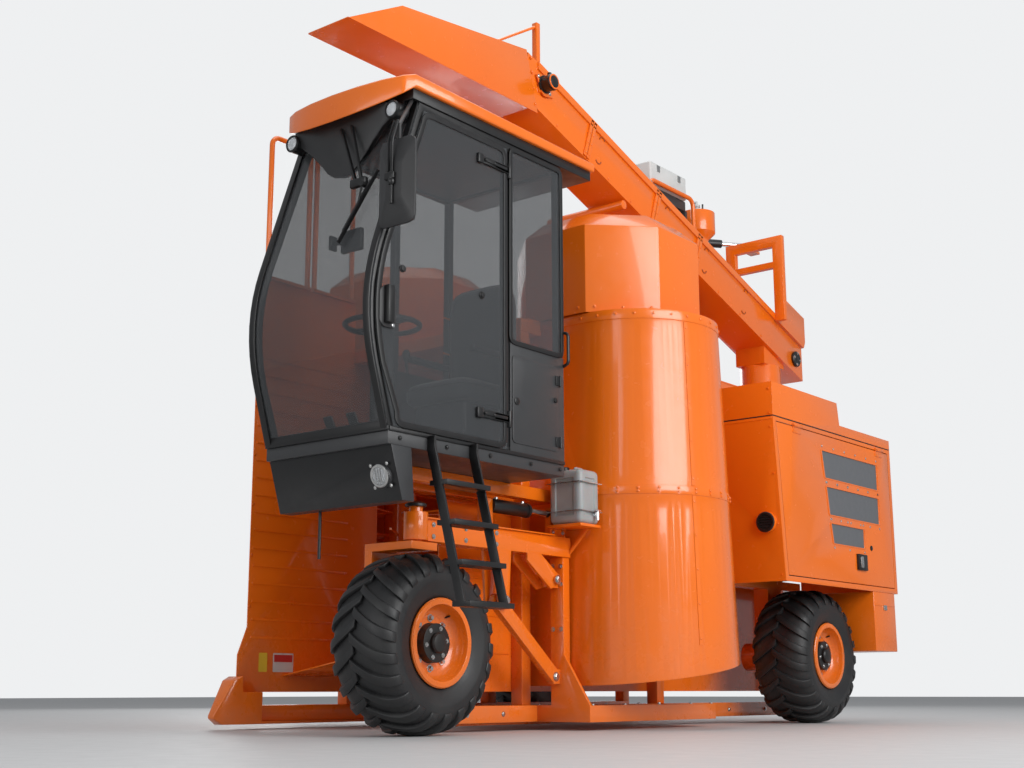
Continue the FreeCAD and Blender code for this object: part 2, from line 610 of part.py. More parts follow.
def front_knuckle():
    """Crown over the tyre, king pin, inner leg and the stub axle."""
    leg = ("front_track - tyre_width/2 - leg_gap - knuckle_leg", "front_track - tyre_width/2 - leg_gap")
    deep = ("front_axle - hub_radius", "front_axle + hub_radius")
    crown = box((leg[0], "front_track + king_barrel_radius"), deep, ("crown_low", "crown_high"))
    side = box(leg, deep, ("tyre_radius - hub_radius", "crown_low"))
    pin = round_bar("Z", ("front_track", "front_axle", "crown_high"), "king_pin_radius",
                    "king_top - crown_high")
    axle = round_bar("X", (leg[1], "front_axle", "tyre_radius"), "axle_radius",
                     f"front_track + rim_disc - axle_end_gap - ({leg[1]})")
    return node("front_knuckle", join([crown, side, pin, axle]))


def front_arm():
    """The arm over the front tyre: king pin barrel, beam, link fork and cylinder ears."""
    half = "arm_width/2"
    beam = box((f"{SUSPENSION_X} - {half}", f"{SUSPENSION_X} + {half}"), ("front_axle", "mast_rear"),
               ("arm_low", "arm_high"))
    barrel = round_bar("Z", ("front_track", "front_axle", "arm_low"), "king_barrel_radius",
                       "arm_high + ear_rise/4 - arm_low")
    ear = box((f"{SUSPENSION_X} - ear/2", f"{SUSPENSION_X} + ear/2"),
              ("level_front - ear", "level_front + ear"), ("arm_high", "level_axis + pin_radius*1.5"))
    fork = [plate("YZ", [("link_high_y - ear*1.5", "arm_low"), ("link_high_y - ear", "link_high_z - ear"),
                         ("link_high_y + ear", "link_high_z - ear"), ("link_high_y + ear*1.5", "arm_low")],
                  f"{SUSPENSION_X} + {low}", f"{SUSPENSION_X} + {high}")
            for low, high in ((f"-{half}", f"-{half} + fork_plate"), (f"{half} - fork_plate", half))]
    lug = [("lug_pin_y - lug_reach", "arm_low"), ("lug_pin_y - lug_reach/2", "arm_low"),
           ("lug_pin_y + ear*0.7", "lug_pin_z + ear*0.8"), ("lug_pin_y + ear*0.6", "lug_pin_z - ear*0.8"),
           ("lug_pin_y - ear", "lug_pin_z - ear*1.3"), ("lug_pin_y - lug_reach", "arm_low - ear")]
    fork += [plate("YZ", lug, f"{SUSPENSION_X} + {low}", f"{SUSPENSION_X} + {high}")
             for low, high in ((f"-{half}", f"-{half} + fork_plate"), (f"{half} - fork_plate", half))]
    rear_ear = box((f"{SUSPENSION_X} - ear/2", f"{SUSPENSION_X} + ear/2"), ("level_rear - ear", "mast_rear"),
                   ("arm_high", "level_axis + pin_radius*1.5"))
    shelf = box((f"{SUSPENSION_X} + ear/2", f"{TANK_INNER} + tank_width"),
                ("tank_front", "tank_front + tank_length"), ("tank_low - shelf_plate", "tank_low"))
    brace = plate("XZ", [(f"{SUSPENSION_X} + {half}", "arm_low + shelf_plate"),
                         (f"{SUSPENSION_X} + {half}", "arm_low + ear"),
                         (f"{TANK_INNER} + tank_width*0.6", "tank_low - shelf_plate"),
                         (f"{TANK_INNER} + tank_width*0.7", "tank_low - shelf_plate")],
                  "mast_rear - shelf_plate", "mast_rear")
    bore = round_bar("Z", ("front_track", "front_axle", "arm_low - 1"), "king_pin_radius + king_gap",
                     "king_top - arm_low")
    pins = [round_bar("X", (f"{SUSPENSION_X} - {half} - fork_plate", *at), "pin_radius",
                      "arm_width + 2*fork_plate")
            for at in (("link_high_y", "link_high_z"), ("lug_pin_y", "lug_pin_z"))]
    return node("front_arm", cut(join([beam, barrel, ear, rear_ear, shelf, brace] + pins + fork), [bore]))


def front_mast():
    """The post under the arm's rear end, on a flared foot beside the lower rail, with an outer sill."""
    half = "mast_width/2"
    across = (f"{SUSPENSION_X} - {half}", f"{SUSPENSION_X} + {half}")
    out = f"({across[1]} + mast_flare)"
    level, inner = ("rail_low", "rail_high"), f"{WALL_OUT} + rail_width"
    beams = [box((inner, out), deep, level)
             for deep in (("mast_front", "mast_rear"), ("sill_rear - post_side", "sill_rear"))]
    sill = box((f"{out} - sill", out), ("mast_front", "sill_rear"), level)
    post = box(across, ("mast_front", "mast_rear"), ("rail_high", "arm_low"))
    flare = plate("XZ", [(across[0], "rail_high"), (out, "rail_high"), (across[1], "flare_top"),
                         (across[0], "flare_top")], "mast_front", "mast_front + sill")
    cheek = f"{half} - fork_plate*2"
    bracket = box((f"{SUSPENSION_X} - ({cheek})", f"{SUSPENSION_X} + {cheek}"),
                  ("lug_pin_y - ear*0.8", "mast_front"), ("lug_pin_z - ear", "lug_pin_z + ear"))
    bore = round_bar("X", (f"{SUSPENSION_X} - mast_width", "lug_pin_y", "lug_pin_z"),
                     "pin_radius + king_gap", "2*mast_width")
    return node("front_mast", cut(join(beams + [sill, post, flare, bracket]), [bore]))


def lower_link():
    """The box link from the foot of the mast to the arm's fork."""
    foot_y = "(mast_front - ear)"
    run, rise = f"({foot_y} - link_high_y)", "(link_high_z - link_low_z)"
    across = [f"(ear*{part}/sqrt({run}^2 + {rise}^2))" for part in (rise, run)]
    wide = (f"{SUSPENSION_X} - ear/2", f"{SUSPENSION_X} + ear/2")
    beam = plate("YZ", [(f"{foot_y} - {across[0]}", f"link_low_z - {across[1]}"),
                        (f"{foot_y} + {across[0]}", f"link_low_z + {across[1]}"),
                        (f"link_high_y + {across[0]}", f"link_high_z + {across[1]}"),
                        (f"link_high_y - {across[0]}", f"link_high_z - {across[1]}")], *wide)
    eye = round_bar("X", (wide[0], "link_high_y", "link_high_z"), "ear", "ear")
    foot = box(wide, (f"{foot_y} - ear/2", "mast_front"), ("link_low_z - ear", "link_low_z + ear"))
    bore = round_bar("X", (f"{SUSPENSION_X} - ear", "link_high_y", "link_high_z"), "pin_radius + king_gap",
                     "2*ear")
    return node("lower_link", cut(join([beam, eye, foot]), [bore]))


def level_cylinder():
    """The levelling cylinder between the arm's ear and the mast's ear."""
    front, rear = "level_front + ear", "level_rear - ear"
    at, reach = (SUSPENSION_X, front, "level_axis"), f"({rear} - ({front}))"
    barrel = round_bar("Y", at, "barrel_radius", f"{reach}*0.62")
    rod = round_bar("Y", at, "rod_bar_radius", reach)
    return node("level_cylinder", join([barrel, rod]))


def rear_frames():
    """Leg, axle and engine bearers of each rear wheel."""
    outer = "(rear_track - tyre_width/2 - leg_gap)"
    inner = f"({outer} - leg_side)"
    deep = (f"{REAR_AXLE} - hub_radius", f"{REAR_AXLE} + hub_radius")
    bearer = ("engine_low - bearer", "engine_low")
    leg = box((inner, outer), deep, ("tyre_radius - hub_radius", bearer[0]))
    axle = round_bar("X", (outer, REAR_AXLE, "tyre_radius"), "axle_radius",
                     f"rear_track + rim_disc - axle_end_gap - {outer}")
    motor = round_bar("X", (f"{inner} - motor_out", REAR_AXLE, "tyre_radius"), "hub_radius", "motor_out")
    long_beam = box((inner, outer), ("engine_front", "engine_front + engine_length"), bearer)
    cross = [box(("tunnel_half + wall", inner), (low, high), bearer) for low, high in (
        ("engine_front", "engine_front + post_side"),
        ("engine_front + engine_length - post_side", "engine_front + engine_length"))]
    left = join([leg, axle, motor, long_beam] + cross)
    return node("rear_frames", group([left, mirror(left)]))


# ---- cab ---------------------------------------------------------------------------------------

def nose_curve(inset):
    """The rounded nose in side view: a curve that leaves the two straight runs of the shield."""
    points = []
    steps = int(size("nose_steps"))
    for step in range(steps + 1):
        share = step / steps
        below, above = 0.5 * (1 - share) ** 2, 0.28 * share ** 2
        back = f"{below}*(shield_low_y - nose_y) + {above}*(shield_top_y - nose_y)"
        points.append((f"nose_y + {inset} + {back}",
                       f"nose_z + {below}*(cab_floor - nose_z) + {above}*(roof_low - nose_z)"))
    return points


def shield_line(inset):
    """The windshield's side view from the floor up to the roof, moved back by an inset."""
    return [(f"shield_low_y + {inset}", "cab_floor"), *nose_curve(inset),
            (f"shield_top_y + {inset}", "roof_low")]


def cab_floor():
    floor = box(("cab_right", "cab_left"), ("shield_low_y", "cab_rear"), ("cab_floor_low", "cab_floor"))
    return node("cab_floor", floor)


def cab_mounts():
    """Beams from the tunnel frame that carry the cab floor."""
    level = ("cab_floor_low - mount_beam", "cab_floor_low")
    inner, near = f"({FRAME_OUT} - mount_beam)", f"({FRAME_OUT} + mount_apart)"
    outer = f"({near} + mount_beam)"
    beams = [box((start, f"{start} + mount_beam"), ("mount_front", "post_front"), level)
             for start in (inner, near)]
    cross = box((FRAME_OUT, outer), ("post_front", "post_front + mount_beam"), level)
    tie = box((inner, outer), ("post_front - mount_beam", "post_front"), level)
    return node("cab_mounts", join(beams + [cross, tie]))


def cab_outline(inset, edge):
    """The side of the cab, drawn in by an inset at front and rear and by an edge at floor and roof."""
    return [(f"shield_low_y + {inset}", f"cab_floor + {edge}"), *nose_curve(inset),
            (f"shield_top_y + {inset}", f"roof_low - {edge}"), (f"cab_rear - {inset}", f"roof_low - {edge}"),
            (f"cab_rear - {inset}", f"cab_floor + {edge}")]


def roof_plan():
    """The roof from above, its front edge bowed."""
    middle = "(cab_left + cab_right)/2"
    half = "((cab_left - cab_right)/2 + roof_out)"
    steps = int(size("nose_steps"))
    points = [(f"{middle} + {half}", "roof_rear")]
    for step in range(steps + 1):
        angle = math.pi * step / steps
        points.append((f"{middle} + {math.cos(angle):.5f}*{half}",
                       f"roof_front + roof_bow*(1 - {math.sin(angle):.5f})"))
    return points + [(f"{middle} - {half}", "roof_rear")]


def cab_frame():
    """Side frames of slender pillars, with cross rails at the rear and under the roof."""
    sides = []
    for low, high in (("cab_left - pillar", "cab_left"), ("cab_right", "cab_right + pillar")):
        whole = plate("YZ", cab_outline("glass", "0"), low, high)
        opening = plate("YZ", cab_outline("(pillar + glass)", "pillar"), f"{low} - 1", f"{high} + 1")
        post = box((low, high), ("door_rear", "door_rear + pillar"),
                   ("cab_floor + pillar", "roof_low - pillar"))
        sides += [cut(whole, [opening]), post]
    across, deep = ("cab_right + pillar", "cab_left - pillar"), "pillar*0.8"
    rails = [box(across, (f"cab_rear - glass - {deep}", "cab_rear - glass"), (low, f"{low} + {deep}"))
             for low in ("cab_floor", f"roof_low - {deep}")]
    rails.append(box(across, ("shield_top_y + glass", f"shield_top_y + glass + {deep}"),
                     (f"roof_low - {deep}", "roof_low")))
    edge = "(roof_out - pillar/2)"
    pan = box((f"cab_right - {edge}", f"cab_left + {edge}"),
              ("roof_front + roof_bow", "roof_rear - pillar/2"), ("roof_low", "roof_low + roof_pan"))
    return node("cab_frame", join(sides + rails + [pan]))


def windshield():
    outline = shield_line("0") + shield_line("glass")[::-1]
    return node("windshield", plate("YZ", outline, "cab_right", "cab_left"))


def cab_windows():
    """Fixed panes: the right side, the rear, and the small pane behind the door."""
    right = plate("YZ", cab_outline("pillar*0.6", "pillar*0.6"), "cab_right - glass", "cab_right")
    rear = box(("cab_right + glass", "cab_left - glass"), ("cab_rear - glass", "cab_rear"),
               ("cab_floor + glass", "roof_low - glass"))
    left = box(("cab_left", "cab_left + glass"), ("door_rear + hinge_room", "cab_rear - glass"),
               ("side_window_low", "roof_low - pillar*0.6"))
    return node("cab_windows", group([right, rear, left]))


def cab_panels():
    """Sheet panels: the wedge below the windshield and the access panel below the side pane."""
    wedge = plate("YZ", [("shield_low_y", "cab_floor"), ("panel_low_y", "panel_low_z"),
                         ("panel_low_y + pillar*2", "panel_low_z"),
                         ("shield_low_y + pillar*4", "cab_floor_low"),
                         ("shield_low_y", "cab_floor_low")], "cab_right", "cab_left")
    floor = box(("cab_right - 1", "cab_left + 1"), ("shield_low_y - 1", "cab_rear"),
                ("cab_floor_low", "cab_floor + 1"))
    access = box(("cab_left", "cab_left + glass"), ("door_rear + hinge_room", "cab_rear - glass"),
                 ("cab_floor + glass", "side_window_low - door_gap"))
    slope = "(panel_low_y - shield_low_y)/(cab_floor - panel_low_z)"
    face_y = f"(shield_low_y + {slope}*(cab_floor - lamp_port_z))"
    lamp = strut(("lamp_port_x", f"{face_y} + lamp_port_deep", f"lamp_port_z + {slope}*lamp_port_deep"),
                 ("lamp_port_x", f"{face_y} - lamp_port_deep", f"lamp_port_z - {slope}*lamp_port_deep"),
                 "lamp_port_radius")
    return node("cab_panels", group([join([cut(wedge, [floor]), lamp]), access]))


def cab_roof():
    """The roof cap over the pan: bowed at the front, with a brow that hangs over the windshield."""
    low = "(roof_low + roof_pan)"
    brow_rear = "(roof_front + roof_bow)"
    profile = [("roof_front", f"{low} - brow_drop*1.6"), ("roof_front", f"{ROOF_TOP} - pillar"),
               (brow_rear, ROOF_TOP), ("roof_rear", f"{ROOF_TOP} - pillar/2"), ("roof_rear", low),
               (brow_rear, low)]
    cap = plate("YZ", profile, "cab_right - roof_out", "cab_left + roof_out")
    return node("cab_roof", common([cap, plate("XY", roof_plan(), "roof_low - brow_drop", ROOF_TOP)]))


def door():
    glass_x = ("cab_left + door_gap", "cab_left + door_gap + glass")
    outline = [("shield_low_y + pillar*0.6", "cab_floor + door_gap*2"), *nose_curve("pillar*0.6"),
               ("shield_top_y + pillar*0.6", "roof_low - pillar"), ("door_rear", "roof_low - pillar"),
               ("door_rear", "cab_floor + door_gap*2")]
    node("cab_door", plate("YZ", outline, *glass_x))
    outside = f"({glass_x[1]})"
    axis_x, axis_y = f"({outside} + hinge_plate/2)", "(door_rear + hinge_plate)"
    pieces, lugs = [], []
    for height in ("hinge_low_z", "hinge_high_z"):
        leaf = box((outside, f"{outside} + hinge_plate"), ("door_rear - hinge_length", axis_y),
                   (f"{height} - pillar/2", f"{height} + pillar/2"))
        knuckle = round_bar("Z", (axis_x, axis_y, f"{height} - pillar/2"), "hinge_radius", "pillar")
        bore = round_bar("Z", (axis_x, axis_y, f"{height} - pillar"), "hinge_pin + king_gap", "2*pillar")
        pieces.append(cut(join([leaf, knuckle]), [bore]))
        ends = ("-(pillar/2 + hinge_run + hinge_lug)", "pillar/2 + hinge_run")
        pin = round_bar("Z", (axis_x, axis_y, f"{height} + {ends[0]}"), "hinge_pin",
                        "pillar + 2*hinge_run + 2*hinge_lug")
        ears = [box(("cab_left", f"{axis_x} + hinge_radius*0.8"), (f"{axis_y} - hinge_radius*0.8",
                    f"{axis_y} + hinge_radius*0.8"), (f"{height} + {end}", f"{height} + {end} + hinge_lug"))
                for end in ends]
        lugs.append(join([pin] + ears))
    node("door_hinge_lugs", group(lugs))
    grip = box((outside, f"{outside} + pillar"), ("nose_y + handle_in", "nose_y + handle_in + pillar"),
               ("handle_z - handle_half", "handle_z + handle_half"))
    return node("door_fittings", group(pieces + [grip]))


def seat():
    middle = "(cab_left + cab_right)/2"
    base = box((f"{middle} - seat_half/2", f"{middle} + seat_half/2"),
               ("seat_rear - seat_deep*0.8", "seat_rear"), ("cab_floor", "seat_low"))
    cushion = box((f"{middle} - seat_half", f"{middle} + seat_half"), ("seat_rear - seat_deep", "seat_rear"),
                  ("seat_low", "seat_low + seat_pad"))
    back = box((f"{middle} - seat_half", f"{middle} + seat_half"), ("seat_rear - seat_pad", "seat_rear"),
               ("seat_low + seat_pad", "seat_top"))
    return node("seat", join([base, cushion, back]))


def controls():
    """Steering column with its wheel, and the console beside the seat."""
    middle = "(cab_left + cab_right)/2"
    column = box((f"{middle} - pillar", f"{middle} + pillar"),
                 ("column_y - pillar", "column_y + pillar"), ("cab_floor", "column_top"))
    hub = round_bar("Z", (middle, "column_y", "column_top"), "pillar*0.7", "pillar")
    spoke = box((f"{middle} - helm_radius", f"{middle} + helm_radius"),
                ("column_y - pillar/4", "column_y + pillar/4"),
                ("column_top + pillar/4", "column_top + pillar*0.6"))
    helm = doc.addObject("Part::Torus", "helm")
    bind(helm, "Radius1", "helm_radius")
    bind(helm, "Radius2", "pillar*0.35")
    for name, text in zip("xyz", (middle, "column_y", "column_top + pillar*0.425")):
        bind(helm, f"Placement.Base.{name}", text)
    console = box(("cab_right + pillar*1.5", "cab_right + pillar*4"), ("seat_rear - seat_deep", "seat_rear"),
                  ("cab_floor", "seat_low + seat_pad*1.5"))
    return node("controls", group([join([column, hub, spoke, helm]), console]))


# ---- bodies at the rear ------------------------------------------------------------------------

def hood_outline(inset=0):
    """Side outline of the engine hood: a sloping front edge and a raised forward part."""
    low = f"hood_low - {inset}"
    return [(f"hood_front_low + {inset}", low), (f"hood_front + {inset}", "hood_seam"),
            (f"hood_front + {inset}", f"hood_top - {inset}"),
            (f"hood_raised_rear - {inset}", f"hood_top - {inset}"),
            (f"hood_step_rear - {inset}", f"hood_step - {inset}"),
            (f"hood_rear - {inset}", f"hood_step - {inset}"),
            (f"hood_rear - {inset}", low)]


def hood_door_outline(gap):
    return [(f"hood_front_low + door_margin - {gap}", f"hood_door_low - {gap}"),
            (f"hood_front + door_margin - {gap}", f"hood_seam - hinge_drop + {gap}"),
            (f"hood_rear - door_margin + {gap}", f"hood_seam - hinge_drop + {gap}"),
            (f"hood_rear - door_margin + {gap}", f"hood_door_low - {gap}")]


GRILLES = (
    [("1545", "1800"), ("2392", "1800"), ("2392", "1614"), ("1582", "1614")],
    [("1595", "1558"), ("2392", "1558"), ("2392", "1368"), ("1626", "1368")],
    [("1639", "1313"), ("2128", "1313"), ("2128", "1179"), ("1666", "1179")],
)


def engine_hood():
    """The open-bottomed hood round the engine, and its side door on two top hinges."""
    whole = plate("YZ", hood_outline(), FRAME_OUT, "hood_left")
    hollow = plate("YZ", hood_outline("hood_wall"), f"{FRAME_OUT} - 1", "hood_left - hood_wall")
    doorway = plate("YZ", hood_door_outline("door_gap"), "hood_left - 2*hood_wall", "hood_left + 1")
    axis_x, axis_z = "(hood_left + hinge_radius + hinge_run*2)", "hood_seam"
    knuckles, lugs = [], []
    for along in ("hood_front + hinge_inset", "hood_rear - hinge_inset"):
        leaf = box(("hood_left", "hood_left + hood_wall"), (along, f"{along} + hinge_length"),
                   ("hood_seam - hinge_drop - pillar", "hood_seam - hinge_radius/2"))
        knuckle = round_bar("Y", (axis_x, along, axis_z), "hinge_radius", "hinge_length")
        bore = round_bar("Y", (axis_x, f"{along} - 1", axis_z), "hinge_pin + king_gap", "hinge_length + 2")
        knuckles.append(cut(join([leaf, knuckle]), [bore]))
        pin = round_bar("Y", (axis_x, f"{along} - hinge_run - hinge_lug", axis_z), "hinge_pin",
                        "hinge_length + 2*hinge_run + 2*hinge_lug")
        ears = [box(("hood_left", f"{axis_x} + hinge_radius*0.8"), (start, f"{start} + hinge_lug"),
                    (f"{axis_z} - hinge_radius*0.2", f"{axis_z} + hinge_radius"))
                for start in (f"{along} - hinge_run - hinge_lug", f"{along} + hinge_length + hinge_run")]
        lugs.append(join([pin] + ears))
    vent = round_bar("Y", ("vent_x", "vent_y - vent_deep", "vent_z"), "vent_radius", "vent_deep")
    node("engine_hood", join([cut(whole, [hollow, doorway]), vent] + lugs))
    panel = plate("YZ", hood_door_outline("0"), "hood_left - hood_wall", "hood_left")
    openings = [plate("YZ", outline, "hood_left - 2*hood_wall", "hood_left + 1") for outline in GRILLES]
    node("hood_door", join([cut(panel, openings)] + knuckles))
    latch = box(("hood_left", "hood_left + latch_deep"), ("latch_y", "latch_y + latch_wide"),
                ("latch_z", "latch_z + latch_high"))
    return node("hood_door_fittings", group([grille(outline) for outline in GRILLES] + [latch]))


def grille(outline):
    """Upright bars behind one opening of the hood door, on a border that laps its edge."""
    depth = ("hood_left - hood_wall - grille_deep", "hood_left - hood_wall")
    (front_top, top), (rear_top, _), (rear_low, low), (front_low, _) = outline
    lap = "grille_pitch/2"
    border = [(f"{front_top} - {lap}", f"{top} + {lap}"), (f"{rear_top} + {lap}", f"{top} + {lap}"),
              (f"{rear_low} + {lap}", f"{low} - {lap}"), (f"{front_low} - {lap}", f"{low} - {lap}")]
    frame = cut(plate("YZ", border, *depth), [plate("YZ", outline, f"{depth[0]} - 1", f"{depth[1]} + 1")])
    whole = plate("YZ", border, *depth)
    count = int(size(f"({rear_top} - ({front_top}))/grille_pitch"))
    starts = [f"{front_top} + {index}*grille_pitch" for index in range(1, count + 1)]
    bars = [box(depth, (start, f"{start} + grille_bar"), (f"{low} - {lap}", f"{top} + {lap}"))
            for start in starts]
    return join([frame, common([whole, group(bars)])])


def tank_housing():
    """The closed hood over the fuel tank, on the other side from the engine."""
    whole = plate("YZ", hood_outline(), "-hood_left", f"-{FRAME_OUT}")
    hollow = plate("YZ", hood_outline("hood_wall"), "-(hood_left - hood_wall)", f"-({FRAME_OUT} - 1)")
    return node("tank_housing", cut(whole, [hollow]))


def engine_block():
    block = box(("engine_inner", "engine_inner + engine_width"),
                ("engine_front", "engine_front + engine_length"),
                ("engine_low", "engine_low + engine_height"))
    return node("engine_block", block)


def fuel_tank():
    tank = box(("-(engine_inner + engine_width)", "-engine_inner"),
               ("engine_front", "engine_front + engine_length"), ("engine_low", "engine_low + engine_height"))
    return node("fuel_tank", tank)


def rear_box():
    """The box that hangs under the rear corner of the engine hood."""
    return node("rear_box", box(("box_inner", "hood_left"), ("box_front", "box_rear"),
                                ("box_low", "hood_low")))


# ---- on the deck -------------------------------------------------------------------------------

def cooler():
    across = ("cooler_inner", "cooler_inner + cooler_width")
    long = ("cooler_front", "cooler_front + cooler_length")
    node("cooler", box(across, long, (DECK_TOP, "cooler_top")))
    lid = box((f"{across[0]} - cooler_rim", f"{across[1]} + cooler_rim"),
              (f"{long[0]} + 2*cooler_rim", f"{long[1]} - 2*cooler_rim"),
              ("cooler_top", "cooler_top + cooler_box"))
    node("air_box", lid)
    loops = []
    beside = "(cooler_rim*2 + guard_radius)"
    for x in (f"cooler_inner - {beside}", f"cooler_inner + cooler_width + {beside}"):
        front, rear = "cooler_front - guard_room", "cooler_front + cooler_length + guard_room"
        loops.append(tube_path([(x, front, DECK_TOP), (x, front, "cooler_top + guard_radius"),
                                (x, rear, "cooler_top + guard_radius"), (x, rear, DECK_TOP)],
                               size("guard_radius"), size("guard_bend")))
    return node("cooler_guard", group(loops))


def fan():
    centre = ("fan_x", "fan_y")
    neck = round_bar("Z", (*centre, DECK_TOP), "fan_neck", f"fan_low - {DECK_TOP}")
    ring = round_bar("Z", (*centre, "fan_low"), "fan_radius", "fan_top - fan_low")
    hollow = round_bar("Z", (*centre, "fan_low + fan_wall"), "fan_radius - fan_wall", "fan_top - fan_low")
    socket = round_bar("Z", (*centre, "fan_low - fan_neck"), "fan_shaft + shaft_gap", "fan_neck*2")
    cup = solid(Part.makeCone(size("fan_neck"), size("fan_radius"), size("fan_cup"),
                              place((*centre, "fan_low - fan_cup"))))
    node("fan_housing", cut(join([neck, cup, ring]), [hollow, socket]))
    shaft = round_bar("Z", (*centre, "fan_low - fan_neck + shaft_gap"), "fan_shaft",
                      "fan_neck + fan_blade_low - fan_low")
    hub = round_bar("Z", (*centre, "fan_blade_low"), "fan_shaft*2.5", "fan_blade_high")
    blades = []
    for index in range(int(size("fan_blades"))):
        blade = box(("fan_x", "fan_x + fan_radius - fan_wall - fan_tip_gap"), ("fan_y - 3", "fan_y + 3"),
                    ("fan_blade_low", "fan_blade_low + fan_blade_high"))
        turn = 360 / size("fan_blades") * index
        blades.append(turned(blade, VECTOR(0, 0, 1), turn, ("fan_x", "fan_y", "0")))
    return node("fan_rotor", join([shaft, hub] + blades))


# ---- elevator ----------------------------------------------------------------------------------

BOOM_RUN = "(boom_tail_y - boom_head_y)"
BOOM_FALL = "(boom_head_z - boom_tail_z)"
BOOM_DROP = f"(boom_depth*sqrt({BOOM_RUN}^2 + {BOOM_FALL}^2)/{BOOM_RUN})"
BOOM_FAR = "(boom_near - boom_width)"
BOOM_MIDDLE = "(boom_near - boom_width/2)"


def boom_top(y):
    return f"(boom_head_z - {BOOM_FALL}*(({y}) - boom_head_y)/{BOOM_RUN})"


def boom():
    outline = [("boom_head_y", f"boom_head_z - {BOOM_DROP}"), ("boom_head_y", "boom_head_z"),
               ("boom_tail_y", "boom_tail_z"), ("boom_tail_y", f"boom_tail_z - {BOOM_DROP}")]
    whole = plate("YZ", outline, BOOM_FAR, "boom_near")
    start, end = "(boom_head_y - 1)", "(boom_tail_y - boom_wall)"
    hollow = plate("YZ", [(start, f"{boom_top(start)} - {BOOM_DROP} + boom_wall"),
                          (start, f"{boom_top(start)} - boom_wall"), (end, f"{boom_top(end)} - boom_wall"),
                          (end, f"{boom_top(end)} - {BOOM_DROP} + boom_wall")],
                   f"{BOOM_FAR} + boom_wall", "boom_near - boom_wall")
    trough = cut(whole, [hollow])
    foot_y = ("slew_y - slew_radius", "slew_y + slew_radius")
    foot = plate("YZ", [(foot_y[0], "foot_low"), (foot_y[1], "foot_low"),
                        (foot_y[1], f"{boom_top(foot_y[1])} - {BOOM_DROP}"),
                        (foot_y[0], f"{boom_top(foot_y[0])} - {BOOM_DROP}")],
                 f"{BOOM_MIDDLE} - slew_radius*0.8", f"{BOOM_MIDDLE} + slew_radius*0.8")
    pin = round_bar("Z", ("slew_x", "slew_y", "foot_low - slew_pin"), "king_barrel_radius", "slew_pin")
    lip_start = "(spout_rear_low_y + door_gap)"
    lip = [(lip_start, f"{boom_top(lip_start)} - lip_deep"), (lip_start, boom_top(lip_start)),
           ("boom_tail_y", "boom_tail_z"), ("boom_tail_y", "boom_tail_z - lip_deep")]
    lips = [plate("YZ", lip, "boom_near", "boom_near + boom_lip"),
            plate("YZ", lip, f"{BOOM_FAR} - boom_lip", BOOM_FAR)]
    motor_at = ("motor_y", "motor_z")
    motor = round_bar("X", ("boom_near", *motor_at), "motor_radius", "motor_long")
    seat = box(("boom_near", "boom_near + motor_plate"),
               ("motor_y - motor_radius", "motor_y + motor_radius*2"),
               ("motor_z - motor_radius*1.2", "motor_z + motor_radius*0.9"))
    return node("boom", join([trough, foot, pin, motor, seat] + lips))


def spout():
    side = [("spout_front_y", "spout_low"), ("spout_rear_low_y", "spout_low"),
            ("spout_rear_top_y", "spout_rear_top_z"), ("spout_top_front_y", "spout_top_front_z")]
    sides = [plate("YZ", side, "boom_near", "boom_near + spout_wall"),
             plate("YZ", side, f"{BOOM_FAR} - spout_wall", BOOM_FAR)]
    floor = box((BOOM_FAR, "boom_near"), ("spout_front_y", "boom_head_y - door_gap"),
                ("spout_low", "spout_low + spout_wall"))
    lid = plate("YZ", [("spout_top_front_y", "spout_top_front_z - spout_wall"),
                       ("spout_rear_top_y", "spout_rear_top_z - spout_wall"),
                       ("spout_rear_top_y", "spout_rear_top_z"), ("spout_top_front_y", "spout_top_front_z")],
                BOOM_FAR, "boom_near")
    return node("spout", join(sides + [floor, lid]))


def spout_stay():
    """The upright on the boom's head and the rod that holds the spout."""
    front, rear = "mast_post_y - stay_half", "mast_post_y + stay_half"
    post_top = f"({boom_top('mast_post_y')} + mast_post_high)"
    post = plate("YZ", [(front, boom_top(front)), (rear, boom_top(rear)), (rear, post_top),
                        (front, post_top)], f"{BOOM_MIDDLE} - stay_half", f"{BOOM_MIDDLE} + stay_half")
    rise = "(spout_rear_top_z - spout_top_front_z)/(spout_rear_top_y - spout_top_front_y)"
    foot_top = f"spout_rear_top_z + ({rise})*(stay_foot_y - spout_rear_top_y)"
    foot = plate("YZ", [("stay_foot_y - stay_half", f"{foot_top} - ({rise})*stay_half"),
                        ("stay_foot_y + stay_half", f"{foot_top} + ({rise})*stay_half"),
                        ("stay_foot_y + stay_half", f"{foot_top} + stay_half*2"),
                        ("stay_foot_y - stay_half", f"{foot_top} + stay_half*2")],
                 f"{BOOM_MIDDLE} - stay_half", f"{BOOM_MIDDLE} + stay_half")
    rod = strut((BOOM_MIDDLE, "mast_post_y", f"{post_top} - stay_half"),
                (BOOM_MIDDLE, "stay_foot_y", f"{foot_top} + stay_half*1.2"), "stay_radius")
    return node("spout_stay", join([post, rod, foot]))


